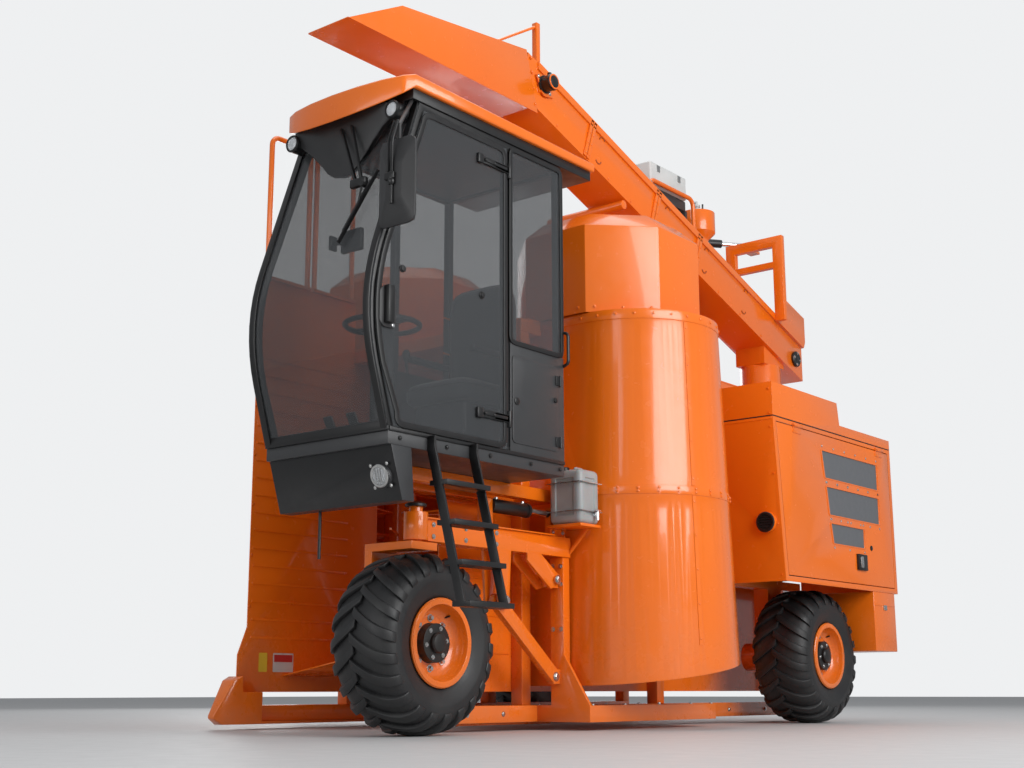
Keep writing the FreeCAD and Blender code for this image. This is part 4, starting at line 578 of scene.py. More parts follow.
SEAL = finish_from("rubber_seal", GRAIN, (0.2, 0.0003), Colour=(0.005, 0.005, 0.0055, 1),
                   Second_colour=(0.008, 0.008, 0.0085, 1), Gloss_low=0.35, Gloss_high=0.45)
IRON = finish_from("engine_casting", GRAIN, (0.5, 0.001), Colour=(0.05, 0.05, 0.052, 1),
                   Second_colour=(0.07, 0.068, 0.065, 1), Scale=260.0, Gloss_low=0.5, Gloss_high=0.65,
                   Metallic=0.6)
STEEL = finish_from("zinc_steel", GRAIN, (0.1, 0.0003), Colour=(0.62, 0.62, 0.61, 1),
                    Second_colour=(0.50, 0.50, 0.49, 1), Scale=500.0, Gloss_low=0.22, Gloss_high=0.34,
                    Metallic=1.0)
CHROME = finish_from("polished_rod", GRAIN, (0.02, 0.0002), Colour=(0.82, 0.82, 0.83, 1),
                     Second_colour=(0.78, 0.78, 0.79, 1), Gloss_low=0.06, Gloss_high=0.11, Metallic=1.0)
TANK = finish_from("tank_plastic", GRAIN, (0.15, 0.0005), Colour=(0.36, 0.37, 0.37, 1),
                   Second_colour=(0.30, 0.31, 0.31, 1), Scale=300.0, Gloss_low=0.34, Gloss_high=0.44,
                   Subsurface_Weight=0.3)
PALE = finish_from("pale_cover", GRAIN, (0.15, 0.0004), Colour=(0.62, 0.63, 0.62, 1),
                   Second_colour=(0.55, 0.56, 0.55, 1), Gloss_low=0.40, Gloss_high=0.5)
SEAT = finish_from("seat_cloth", GRAIN, (0.6, 0.0010), Colour=(0.030, 0.031, 0.034, 1),
                   Second_colour=(0.045, 0.046, 0.050, 1), Scale=520.0, Gloss_low=0.80, Gloss_high=0.95,
                   Sheen_Weight=0.4)
GLASS = finish_from("cab_glass", COAT, (0.01, 0.0001), Colour=(0.085, 0.090, 0.095, 1),
                    Deep_colour=(0.070, 0.075, 0.080, 1), Drift_scale=0.8, Gloss_low=0.02, Gloss_high=0.03,
                    Dust=0.0, Ripple_scale=1.5, Alpha=0.40)
LENS = finish_from("lamp_lens", GRAIN, (0.30, 0.0006), Colour=(0.90, 0.92, 0.94, 1),
                   Second_colour=(0.82, 0.84, 0.86, 1), Scale=160.0, Gloss_low=0.04, Gloss_high=0.08,
                   Transmission_Weight=0.6)
SHADOW = finish_from("gap_shadow", GRAIN, (0.1, 0.0003), Colour=(0.004, 0.004, 0.004, 1),
                     Second_colour=(0.008, 0.008, 0.008, 1), Gloss_low=0.8, Gloss_high=0.95)
SHADOW_EDGE = finish_from("seam_shadow", COAT, (0.05, 0.0003), Colour=(0.34, 0.055, 0.003, 1),
                          Deep_colour=(0.28, 0.045, 0.003, 1), Gloss_low=0.5, Gloss_high=0.6)
FLOOR = finish_from("floor_paint", GRAIN, (0.02, 0.0005), Colour=(0.52, 0.52, 0.52, 1),
                    Second_colour=(0.50, 0.50, 0.50, 1), Scale=60.0, Gloss_low=0.50, Gloss_high=0.60)
YELLOW = finish_from("plate_yellow", COAT, (0.05, 0.0003), Colour=(0.80, 0.55, 0.03, 1),
                     Deep_colour=(0.74, 0.50, 0.03, 1), Gloss_low=0.3, Gloss_high=0.4)
RED = finish_from("plate_red", COAT, (0.05, 0.0003), Colour=(0.50, 0.02, 0.02, 1),
                  Deep_colour=(0.44, 0.02, 0.02, 1), Gloss_low=0.3, Gloss_high=0.4)


GRILLE = finish_from("punched_grille", PUNCHED, (0.5, 0.001), Metallic=0.3)

FINISH_OF_SLOT = {
    "orange_paint": ORANGE, "cab_grey_paint": CAB_GREY, "black_paint": BLACK, "chrome_steel": CHROME,
    "cab_glass": GLASS, "catcher_plastic": ORANGE, "seat_fabric": SEAT, "black_plastic": PLASTIC,
    "engine_iron": IRON, "pale_plastic": PALE, "tank_plastic": TANK, "tyre_rubber": RUBBER,
}


def paint_cad_pieces():
    """Give every carried-over CAD piece the finish of its slot."""
    slots = {part["node"]: part["material_slot"] for part in frame["record"]["subparts"]}
    for name, item in NODES.items():
        item.data.materials.clear()
        item.data.materials.append(FINISH_OF_SLOT[slots[name]])
        smoothed(item, 30)


# ---- studio ------------------------------------------------------------------------------------

# Place of the eye in metres, its turn, tilt and roll in degrees, and the lens in millimetres.
EYE = (5.7515, -7.0717, 0.2122)
TURN, TILT, ROLL = 38.85, 12.33, -0.11
FOCAL_LENGTH = 49.4


def camera():
    """The view from low in front of the machine's left side."""
    lens = bpy.data.cameras.new("camera")
    lens.lens = FOCAL_LENGTH
    item = bpy.data.objects.new("camera", lens)
    bpy.context.scene.collection.objects.link(item)
    aim = Euler((math.radians(90 + TILT), 0, math.radians(TURN))).to_matrix().to_4x4()
    item.matrix_world = Matrix.Translation(EYE) @ aim @ Matrix.Rotation(math.radians(ROLL), 4, "Z")
    lens.clip_end = 200
    bpy.context.scene.camera = item


def area(name, place, target, size, power):
    """A broad soft lamp aimed at a point."""
    lamp = bpy.data.lights.new(name, "AREA")
    lamp.shape = "RECTANGLE"
    lamp.size, lamp.size_y = size
    lamp.energy = power
    item = bpy.data.objects.new(name, lamp)
    bpy.context.scene.collection.objects.link(item)
    item.location = place
    item.rotation_euler = (Vector(target) - Vector(place)).to_track_quat("-Z", "Y").to_euler()


def surround():
    """A pale backdrop where it is seen, and a dimmer cool light where it only shines."""
    world = bpy.data.worlds.new("surround")
    bpy.context.scene.world = world
    world.use_nodes = True
    tree = world.node_tree
    tree.nodes.clear()
    rays = tree.nodes.new("ShaderNodeLightPath")
    seen = worked(tree, "MAXIMUM", rays.outputs["Is Camera Ray"], rays.outputs["Is Transmission Ray"])
    lit = added(tree, "ShaderNodeBackground", Color=(0.93, 0.96, 1.0, 1), Strength=0.38)
    shown = added(tree, "ShaderNodeBackground", Color=(0.86, 0.87, 0.88, 1), Strength=1.0)
    mix = tree.nodes.new("ShaderNodeMixShader")
    out = tree.nodes.new("ShaderNodeOutputWorld")
    for socket, part in zip(mix.inputs, (seen, lit.outputs[0], shown.outputs[0])):
        tree.links.new(part, socket)
    tree.links.new(mix.outputs[0], out.inputs[0])


# Name, place, aim, size and power.
SOFTBOXES = (("side_softbox", (9.0, -1.5, 4.5), (0.5, 0.0, 1.8), (6, 5), 640),
             ("front_softbox", (1.0, -10.0, 3.5), (0.3, -1.0, 1.8), (7, 4), 180),
             ("top_softbox", (0.0, 0.0, 10.0), (0.0, 0.0, 0.0), (8, 8), 340),
             ("rear_softbox", (-7.0, 7.0, 4.5), (0.0, 0.5, 2.0), (6, 5), 300))


def studio():
    """Pale floor and surround, with broad soft lamps."""
    bpy.context.scene.view_settings.view_transform = "Standard"
    surround()
    bpy.ops.mesh.primitive_plane_add(size=80, location=(0, 0, 0))
    floor = bpy.context.object
    floor.name = "studio_floor"
    floor.data.materials.append(FLOOR)
    for softbox in SOFTBOXES:
        area(*softbox)


# ---- wheels ------------------------------------------------------------------------------------

TREAD_RADIUS = 0.442
# Name, centre and outward side of each wheel.
WHEELS = (("front", (0.96, -1.895, TREAD_RADIUS), 1), ("rear_left", (1.19, 1.765, TREAD_RADIUS), 1),
          ("rear_right", (-1.19, 1.765, TREAD_RADIUS), -1))
# Half of the tyre's section: place across and radius, from the crown to the bead.
CARCASS = ((0.0, 0.423), (0.06, 0.421), (0.11, 0.413), (0.150, 0.397), (0.178, 0.375), (0.193, 0.351),
           (0.1985, 0.330), (0.1975, 0.312), (0.1990, 0.305), (0.197, 0.297), (0.190, 0.250), (0.180, 0.232),
           (0.178, 0.2275))
BEAD_SEAT = 0.1973
# Along a tread bar: place across and ahead, radius of its top and of its foot.
LUG_STATIONS = (((-0.014, 0.086), 0.4420, 0.418), ((0.020, 0.060), 0.4420, 0.418),
                ((0.060, 0.034), 0.4410, 0.416), ((0.100, 0.010), 0.4370, 0.410),
                ((0.140, -0.012), 0.4260, 0.396), ((0.172, -0.028), 0.4040, 0.376),
                ((0.192, -0.038), 0.3740, 0.354), ((0.1985, -0.044), 0.3440, 0.336))
LUG_WIDTH, LUG_OVERHANG = 0.058, 0.004
LUGS = 22


def lug(side, start):
    """One curved tread bar, from the middle of the tread down over the shoulder."""
    placed = []
    for index, ((across, ahead), top, floor) in enumerate(LUG_STATIONS):
        wide = LUG_WIDTH * (0.80 + 0.045 * index)
        corners = [(ahead - wide * 0.44, top), (ahead + wide * 0.44, top), (ahead + wide / 2, floor),
                   (ahead - wide / 2, floor)]
        overhang = LUG_OVERHANG if index > 5 else 0.0
        ring = []
        for along, reach in corners:
            out = across + (overhang if reach == top else 0)
            turned = start + along / TREAD_RADIUS
            ring.append(Vector((side * out, reach * math.sin(turned), reach * math.cos(turned))))
        placed.append(ring)
    return bevelled(swept(placed), 0.004, 2, 40)


def tyre(name, centre, body):
    """A smooth carcass with two rows of tread bars, half a step apart."""
    profile = [*CARCASS, (0.150, BEAD_SEAT)]
    section = profile + [(-across, radius) for across, radius in reversed(profile[1:])]
    pieces = [spun(section, (0, 0, 0), LEFT, 72)]
    step = 2 * math.pi / LUGS
    for side, start in ((1, 0.0), (-1, step / 2)):
        first = lug(side, start)
        pieces += [first] + [copied(first, Matrix.Rotation(-index * step, 4, "X"))
                             for index in range(1, LUGS)]
    whole = joined(pieces)
    whole.data.transform(Matrix.Translation(centre))
    fitted(whole, name + "_tyre_tread", RUBBER, body, (name + "_tyre",), 35)


HUB_RADIUS, HUB_START = 0.099, 0.100
NUT_CIRCLE, NUT_FACE, NUT = 0.122, 0.102, (0.013, 0.018)
# Sections as (along the axle, radius).
RIM_EDGE = ((0.170, 0.2125), (0.176, 0.2170), (0.183, 0.2170), (0.187, 0.2125), (0.183, 0.2085),
            (0.176, 0.2085))
RIM_DISH = ((0.1875, 0.2085), (0.1860, 0.1990), (0.1740, 0.1890), (0.1500, 0.1820), (0.1250, 0.1720),
            (0.1100, 0.1560), (0.1035, 0.1370), (0.1022, 0.1370), (0.1022, 0.1560), (0.1100, 0.1845),
            (0.1740, 0.1945), (0.1800, 0.2085))
HUB_CAP = ((0.1495, 0.0), (0.1495, 0.050), (0.166, 0.050), (0.174, 0.044), (0.178, 0.030), (0.180, 0.0))


def rim(name, centre, side, body):
    """The disc with its rolled edge, wheel nuts, hub cap and valve."""
    whole = dressed(name + "_rim", ORANGE, 3 * MM)
    whole.data.materials.append(BLACK)
    centre = Vector(centre)
    out = Vector((side, 0, 0))
    for face in whole.data.polygons:
        corners = [whole.data.vertices[index].co - centre for index in face.vertices]
        reach = max(math.hypot(corner.y, corner.z) for corner in corners)
        if reach < HUB_RADIUS and min(corner.x * side for corner in corners) > HUB_START:
            face.material_index = 1
    fitted(spun(RIM_EDGE, centre, out, 64), name + "_rim_edge", ORANGE, body)
    fitted(spun(RIM_DISH, centre, out, 64), name + "_rim_dish", ORANGE, body, angle=50)
    nuts = hexagons(round_spots(centre + out * NUT_FACE, out, NUT_CIRCLE, 8), out, *NUT)
    fitted(nuts, name + "_wheel_nuts", STEEL, body)
    fitted(spun(HUB_CAP, centre, out, 32), name + "_hub_cap", BLACK, body)
    ring = hexagons(round_spots(centre + out * 0.150, out, 0.074, 6, 0.4), out, *HUB_HEX)
    fitted(ring, name + "_hub_bolts", STEEL, body)
    valve = centre + out * 0.104 + Vector((0, 0.10, 0.125))
    stem = tube([valve, valve + out * 0.035 + Vector((0, 0.006, 0.008))], 0.005, 0.01)
    fitted(stem, name + "_valve", SEAL, body)


def wheels():
    for name, centre, side in WHEELS:
        body = body_of_node(name + "_tyre")
        tyre(name, centre, body)
        rim(name, centre, side, body)


# ---- cab ---------------------------------------------------------------------------------------

CAB_LEFT, CAB_RIGHT = 1.300, 0.465
NOSE = Vector((0, -2.640, 1.990))
SHIELD_LOW, SHIELD_TOP = Vector((0, -2.458, 1.400)), Vector((0, -2.276, 3.075))
DOOR_FACE, DOOR_REAR = 1.312, -1.600
DOOR_LOW, DOOR_TOP = 1.412, 3.035
HINGE_LINE, HINGE_HEIGHTS = -1.588, (1.569, 2.911)
# Height below which the wedge's front faces are painted black as painted shade.
WEDGE_SHADE_TOP = 1.40


def nose_line(inset, steps=8):
    """The windshield in side view, moved back by an inset: two straight runs and a rounded nose between."""
    line = [SHIELD_LOW]
    for step in range(steps + 1):
        t = step / steps
        line.append(NOSE + (SHIELD_LOW - NOSE) * 0.5 * (1 - t) ** 2 + (SHIELD_TOP - NOSE) * 0.28 * t ** 2)
    line.append(SHIELD_TOP)
    return [spot + Vector((0, inset, 0)) for spot in line]


def nose_at(height):
    """Where the windshield's line is at a height."""
    line = nose_line(0)
    for low, high in zip(line, line[1:]):
        if low.z <= height <= high.z:
            return low.lerp(high, (height - low.z) / (high.z - low.z)).y
    return line[-1].y


def door_outline(inset):
    """The door pane in side view, with its rear corners rounded."""
    front = [(spot.y, spot.z) for spot in nose_line(inset)[1:-1]]
    rear = rounded_outline(((0, nose_at(DOOR_TOP) + inset, DOOR_TOP), (0, DOOR_REAR, DOOR_TOP),
                            (0, DOOR_REAR, DOOR_LOW), (0, nose_at(DOOR_LOW) + inset, DOOR_LOW)), 0.07, 4)
    return front + [(spot.y, spot.z) for spot in rear]


def glass_seals():
    """The black edge seals of the front pane, the door pane and the small pane behind it."""
    for x in (CAB_LEFT - 0.020, CAB_RIGHT + 0.020):
        edge = strip([spot + Vector((x, 0, 0)) for spot in nose_line(-0.005)], 0.040, 0.012)
        fitted(bevelled(edge, 0.003), tagged("windshield_side_seal", x), SEAL)
    for spot, lift in ((SHIELD_LOW, 0.022), (SHIELD_TOP, -0.022)):
        line = spot + Vector((0, -0.006, lift))
        edge = bar(line + Vector((CAB_RIGHT, 0, 0)), line + Vector((CAB_LEFT, 0, 0)), 0.012, 0.044)
        fitted(bevelled(edge, 0.003), tagged("windshield_cross_seal", spot.z), SEAL)
    door = door_outline(0.024)
    frame_band = border(on_side(DOOR_FACE - 0.001, door), 0.030, (0.006, 0, 0))
    fitted(bevelled(frame_band, 0.002), "door_seal", SEAL, "door_leaf", angle=40)
    side = rounded_outline(upright(1.3055, -1.578, -1.108, 1.972, 3.060), 0.05)
    fitted(bevelled(border(side, 0.026, (0.007, 0, 0)), 0.002), "side_window_seal", SEAL, angle=40)


def door_metal():
    """Hinge arms over the pane, pivots, stand-off buttons, handle and lock."""
    dressed("door_fittings", BLACK, 2 * MM)
    dressed("door_hinge_lugs", BLACK, 1.5 * MM)
    for height in HINGE_HEIGHTS:
        arm = bar((1.319, HINGE_LINE, height), (1.319, -1.815, height), 0.010, 0.040)
        ridge = bar((1.326, -1.615, height), (1.326, -1.800, height), 0.008, 0.016)
        post = block((1.312, -1.850, height - 0.026), (1.330, -1.805, height + 0.026))
        leaf = joined([bevelled(arm, 0.003), bevelled(ridge, 0.002), bevelled(post, 0.005)])
        fitted(leaf, tagged("door_hinge_arm", height), BLACK, "door_leaf")
        pin = disc((1.318, HINGE_LINE, height), UP, 0.011, 0.085)
        fitted(bevelled(pin, 0.002), tagged("door_hinge_pin", height), BLACK)
        fitted(bolts([(1.330, -1.79, height), (1.330, -1.72, height)], LEFT, *SHEET_BOLT),
               tagged("door_hinge_bolts", height), BLACK, "door_leaf")
    for y, z in ((-2.393, 2.181), (-1.806, 2.180)):
        button = spun([(0.0, 0.0), (0.0, 0.019), (0.004, 0.019), (0.007, 0.015), (0.012, 0.014),
                       (0.014, 0.0)], (DOOR_FACE, y, z), LEFT, 28)
        fitted(button, tagged("door_button", -y), SEAL, "door_leaf")
    plate = on_side(1.3125, ((-2.548, 1.895), (-2.548, 2.045), (-2.520, 2.070), (-2.455, 2.070),
                             (-2.438, 2.045), (-2.438, 1.895), (-2.455, 1.872), (-2.520, 1.872)))
    plate = bevelled(slab(rounded_outline(plate, 0.01, 2), (0.008, 0, 0)), 0.003)
    fitted(plate, "door_handle_plate", PLASTIC, "door_leaf")
    dish = rounded_outline(upright(1.3205, -2.475, -2.446, 1.905, 2.035), 0.01, 2)
    fitted(bevelled(slab(dish, (0.004, 0, 0)), 0.0015), "door_handle_dish", CAB_GREY, "door_leaf")
    barrel = disc((1.322, -2.460, 1.886), LEFT, 0.009, 0.008)
    fitted(bevelled(barrel, 0.0015), "door_lock", CHROME, "door_leaf")


def sheet_lock(centre, radius):
    """A turned lock face with a chamfered edge."""
    return spun([(0.0, 0.0), (0.0, radius), (0.004, radius), (0.006, radius - 0.004), (0.006, 0.0)], centre,
                LEFT, 24)


def cab_sheets():
    """Side access panel with its hinges and locks, grab handle and floor lip."""
    panel = rounded_outline(upright(1.306, -1.553, -1.165, 1.455, 1.920), 0.03)
    fitted(bevelled(slab(panel, (0.006, 0, 0)), 0.002), "access_panel", CAB_GREY)
    for height in (1.841, 1.507):
        leaf = rounded_box((1.310, -1.190, height - 0.026), (1.317, -1.150, height + 0.026), 0.002)
        hinge = joined([leaf, disc((1.316, -1.150, height), UP, 0.007, 0.060)])
        fitted(hinge, tagged("access_hinge", height), BLACK)
    fitted(sheet_lock((1.312, -1.520, 1.675), 0.020), "access_latch", BLACK)
    fitted(bevelled(disc((1.314, -1.190, 1.731), LEFT, 0.014, 0.008), 0.002), "access_lock", BLACK)
    grip = tube([(1.300, -1.105, 1.933), (1.338, -1.105, 1.945), (1.338, -1.105, 2.112),
                 (1.300, -1.105, 2.124)], 0.009, 0.02)
    fitted(grip, "grab_handle", BLACK)
    lip = joined([bar((CAB_LEFT + 0.004, -2.455, 1.402), (CAB_LEFT + 0.004, -1.102, 1.402), 0.008, 0.020),
                  bar((CAB_RIGHT, -2.464, 1.402), (CAB_LEFT + 0.008, -2.464, 1.402), 0.010, 0.020)])
    fitted(bevelled(lip, 0.002), "floor_lip", BLACK)
    heads = [(1.303, y, 1.365) for y in (-2.38, -2.05, -1.72, -1.39, -1.14)]
    fitted(bolts(heads, LEFT, *PANEL_BOLT), "floor_bolts", BLACK)


def wedge_lamp():
    """Round lamp let into the front of the wedge under the cab: ring, lens and four screws."""
    out, up_slope = Vector((0, -0.954, -0.300)), Vector((0, -0.300, 0.954))
    centre = Vector((1.209, -2.4125, 1.192))
    ring = spun([(0.0, 0.040), (0.0, 0.056), (0.006, 0.056), (0.010, 0.052), (0.010, 0.044),
                 (0.004, 0.040)], centre, out, 40)
    fitted(ring, "wedge_lamp_ring", STEEL)
    lens = spun([(0.001, 0.0), (0.001, 0.041), (0.006, 0.041), (0.011, 0.028), (0.013, 0.0)], centre, out, 40)
    fitted(lens, "wedge_lamp_lens", LENS)
    middles = [centre + out * 0.014 + Vector((shift, 0, 0)) for shift in (-0.016, 0.0, 0.016)]
    bars = [bar(middle - up_slope * 0.034, middle + up_slope * 0.034, 0.004, 0.003, out)
            for middle in middles]
    fitted(joined(bars), "wedge_lamp_guard", STEEL)
    screws = bolts(round_spots(centre - out * 0.006, out, 0.074, 4), out, *SCREW)
    fitted(screws, "wedge_lamp_screws", STEEL)


def wipers():
    """Two carrier arms from under the brow down to the motor, the pivot and the blade."""
    motor = Vector((1.045, nose_at(2.657) - 0.034, 2.657))
    left = bar((0.900, -2.418, 2.990), motor, 0.012, 0.018, FRONT)
    right = bar((0.973, -2.418, 2.990), motor + Vector((0.040, 0, 0)), 0.012, 0.018, FRONT)
    house = rounded_box(motor - Vector((0.035, 0.012, 0.022)), motor + Vector((0.070, 0.016, 0.022)), 0.006)
    pivot = disc(motor + Vector((0.065, -0.014, -0.023)), (0, -1, 0.1), 0.014, 0.030)
    top = Vector((1.164, nose_at(2.709) - 0.020, 2.709))
    low = Vector((1.029, nose_at(2.330) - 0.020, 2.330))
    mid = top.lerp(low, 0.45)
    arm = bar(motor + Vector((0.065, -0.022, -0.023)), mid + Vector((0, -0.012, 0)), 0.009, 0.007, FRONT)
    proud = Vector((0, -0.010, 0))
    spine = bar(top.lerp(low, 0.15) + proud, top.lerp(low, 0.85) + proud, 0.012, 0.008, FRONT)
    blade = joined([bar(top, low, 0.007, 0.020, FRONT), spine])
    whole = joined([bevelled(left, 0.002), bevelled(right, 0.002), house, pivot, bevelled(arm, 0.001), blade])
    fitted(whole, "wiper", BLACK)


APRON_RIGHT, APRON_WIDTH, APRON_HANG = 0.560, 0.640, 0.235


def roof():
    """Orange cap, the black apron that hangs under its brow, and the liner."""
    dressed("cab_roof", ORANGE, 12 * MM, 4)
    top, low = [], []
    for step in range(13):
        share = step / 12
        x = APRON_RIGHT + APRON_WIDTH * share
        hang = APRON_HANG * math.sin(math.pi * share) ** 1.5
        top.append(Vector((x, -2.410, 3.060)))
        low.append(Vector((x, -2.395, 2.985 - hang)))
    rings = []
    for share in (0.0, 0.6, 1.0):
        drop = [spot.lerp(end, share) for spot, end in zip(top, low)]
        face = [spot + Vector((0, 0.012 * share, 0)) for spot in drop]
        back = [spot + Vector((0, 0.085, 0)) * (1 - 0.45 * share) for spot in reversed(drop)]
        rings.append(face + back)
    apron = swept(rings)
    fitted(bevelled(apron, 0.006, 3, 40), "blower_apron", PLASTIC)
    fitted(rounded_box((0.50, -2.22, 3.045), (1.265, -1.15, 3.074), 0.012, 3), "roof_liner", PLASTIC)


def work_lamp_faces():
    dressed("work_lamps", BLACK, 2 * MM)
    for x in (0.525, 1.240):
        centre = Vector((x, -2.400, 3.010))
        bezel = spun([(0.0, 0.034), (0.0, 0.046), (0.010, 0.047), (0.016, 0.043), (0.016, 0.037),
                      (0.004, 0.034)], centre, FRONT, 36)
        fitted(bezel, tagged("work_lamp_bezel", x), BLACK)
        lens = spun([(0.002, 0.0), (0.002, 0.036), (0.010, 0.0365), (0.015, 0.028), (0.018, 0.012),
                     (0.0185, 0.0)], centre, FRONT, 36)
        fitted(lens, tagged("work_lamp_lens", x), LENS)
        bowl = spun([(0.0005, 0.0), (0.0005, 0.036), (0.0015, 0.036), (0.0015, 0.0)], centre, FRONT, 36)
        fitted(bowl, tagged("work_lamp_bowl", x), CHROME)


def mirror():
    """Mirror housing with a raised back, its glass, and its two rods with clamp and knob."""
    dressed("rear_view_mirror", PLASTIC, 4 * MM)
    back = rounded_outline([(1.294, -2.540, 2.340), (1.294, -2.540, 2.768), (1.524, -2.540, 2.768),
                            (1.524, -2.540, 2.340)], 0.045)
    middle = sum(back, Vector()) / len(back)
    raised = [[middle + (spot - middle) * share + Vector((0, rise, 0)) for spot in back]
              for share, rise in ((1, 0.012), (1, 0), (0.84, -0.006), (0.45, -0.024))]
    fitted(bevelled(swept(raised), 0.004, 3, 20), "mirror_back", PLASTIC)
    face = rounded_outline([(1.322, -2.4995, 2.375), (1.322, -2.4995, 2.755), (1.478, -2.4995, 2.755),
                            (1.478, -2.4995, 2.375)], 0.025)
    fitted(slab(face, (0, 0.003, 0)), "mirror_glass", CHROME)
    rod = tube([(1.400, -2.530, 2.870), (1.404, -2.572, 2.760), (1.404, -2.572, 2.565)], 0.007, 0.03)
    knob = spun([(-0.016, 0.0), (-0.016, 0.013), (-0.008, 0.018), (0.008, 0.018), (0.016, 0.013),
                 (0.016, 0.0)], (1.404, -2.572, 2.548), UP, 24)
    second = tube([(1.376, -2.530, 2.870), (1.380, -2.572, 2.760), (1.380, -2.572, 2.600)], 0.006, 0.03)
    clamp = rounded_box((1.362, -2.582, 2.560), (1.422, -2.558, 2.596), 0.005, 3)
    stub = disc((1.404, -2.572, 2.490), UP, 0.007, 0.100, 16)
    fitted(joined([rod, knob, second, clamp, stub]), "mirror_rod", BLACK)


def cushion(centre, half, up, thick):
    """A crowned pad: full in the middle, with sides that pull in between its corners, and a sewn edge."""
    centre, up = Vector(centre), Vector(up).normalized()
    across = Vector(LEFT)
    ahead = up.cross(across)
    rings = []
    for rise, inset in ((0.0, 0.030), (0.10, 0.008), (0.30, 0.0), (0.62, 0.0), (0.80, 0.014), (0.92, 0.045),
                        (0.99, 0.100), (1.02, 0.150)):
        ring = []
        for step in range(40):
            turned = 2 * math.pi * (step + 0.5) / 40
            cosine, sine = math.cos(turned), math.sin(turned)
            waist = 1 - 0.025 * math.cos(2 * turned) ** 2
            reach_x = (half[0] - inset) * waist * math.copysign(abs(cosine) ** 0.42, cosine)
            reach_y = (half[1] - inset) * waist * math.copysign(abs(sine) ** 0.42, sine)
            ring.append(centre + across * reach_x + ahead * reach_y + up * rise * thick)
        rings.append(ring)
    piping = tube(rings[3], 0.004, 0.001, 8, closed=True)
    return joined([swept(rings), piping])


def driver_place():
    """Seat with its cushions and arm rests, steering wheel, screen, pedals and drive lever."""
    base = rounded_box((0.700, -1.640, 1.400), (1.060, -1.270, 1.700), 0.02, 3)
    fitted(base, "seat_pedestal", BLACK)
    pads = [cushion((0.882, -1.480, 1.700), (0.235, 0.228), UP, 0.130),
            cushion((0.882, -1.235, 2.105), (0.222, 0.305), FRONT, 0.120)]
    soft = fitted(joined(pads), "seat_cushions", SEAT, stands_for=("seat",), angle=60)
    rests = [rounded_box((x, -1.640, 1.955), (x + 0.045, -1.330, 1.990), 0.012, 3) for x in (0.645, 1.075)]
    fitted(joined(rests), "arm_rests", PLASTIC)
    screen = joined([rounded_box((0.590, -2.110, 2.470), (0.740, -2.080, 2.590), 0.008, 3),
                     tube([(0.480, -2.060, 2.560), (0.560, -2.070, 2.540), (0.620, -2.080, 2.530)], 0.009),
                     rounded_box((0.475, -2.085, 2.520), (0.490, -2.035, 2.600), 0.003)])
    fitted(screen, "yield_screen", BLACK)
    pedals = [bevelled(bar((x, -2.300, 1.410), (x, -2.370, 1.530), 0.060, 0.012, (0, -1, -0.5)), 0.004)
              for x in (0.800, 0.960)]
    stems = [tube([(x, -2.300, 1.402), (x, -2.320, 1.440)], 0.008, 0.01) for x in (0.800, 0.960)]
    fitted(joined(pedals + stems), "pedals", BLACK)
    lever = joined([tube([(0.600, -1.560, 1.700), (0.600, -1.600, 1.980)], 0.008, 0.02),
                    spun([(0.0, 0.0), (0.0, 0.012), (0.020, 0.020), (0.050, 0.022), (0.066, 0.014),
                          (0.070, 0.0)], (0.600, -1.600, 1.975), UP, 20)])
    fitted(lever, "drive_lever", BLACK)
    dressed("controls", PLASTIC, 0)


def cab():
    glass_seals()
    door_metal()
    cab_sheets()
    wedge_lamp()
    wipers()
    roof()
    work_lamp_faces()
    mirror()
    driver_place()


# ---- drums, hood and boom ----------------------------------------------------------------------

DRUM_X, DRUM_Y = 1.05, -0.045
DRUM_BANDS = (2.362, 1.335, 1.314)
DRUM_SEAMS = ((0.46, 1.296), (1.354, 2.326))
BAND_PROUD = 0.004
COVER_X, COVER_LOW, COVER_TOP = 0.86, 2.425, 3.040
COVER_APOTHEM = 0.540
DRUM_FOOT, DRUM_TOP = 0.240, 2.390
DRUM_LOW_RADIUS, DRUM_TOP_RADIUS = 0.590, 0.520


def drum_radius(height):
    share = (height - DRUM_FOOT) / (DRUM_TOP - DRUM_FOOT)
    return DRUM_LOW_RADIUS + (DRUM_TOP_RADIUS - DRUM_LOW_RADIUS) * share


def drum_bolts(side, x, height, facing, count=22, reach=128):
    """Bolt heads around a drum's band, as far as a bearing to each side of where it faces."""
    seed = bolt((drum_radius(height) + BAND_PROUD, 0, 0), LEFT, *PANEL_BOLT)
    place = Matrix.Translation((x, DRUM_Y, height))
    heads = []
    for index in range(count):
        bearing = facing - reach + 2 * reach * index / (count - 1)
        heads.append(copied(seed, place @ Matrix.Rotation(math.radians(bearing), 4, "Z")))
    bpy.data.objects.remove(seed)
    fitted(joined(heads), tagged(side + "_drum_bolts", height), ORANGE)


def drums():
    dressed("rotor_housings", ORANGE, 1.5 * MM)
    dressed("rotor_drive_covers", ORANGE, 5 * MM, 3)
    for side, out, facing in (("left", 1, 0), ("right", -1, 180)):
        for height in DRUM_BANDS:
            drum_bolts(side, out * DRUM_X, height, facing)
        for bearing in (facing - 122, facing + 122, facing - 20):
            seam(side, out * DRUM_X, bearing)
        cover(side, out * COVER_X)


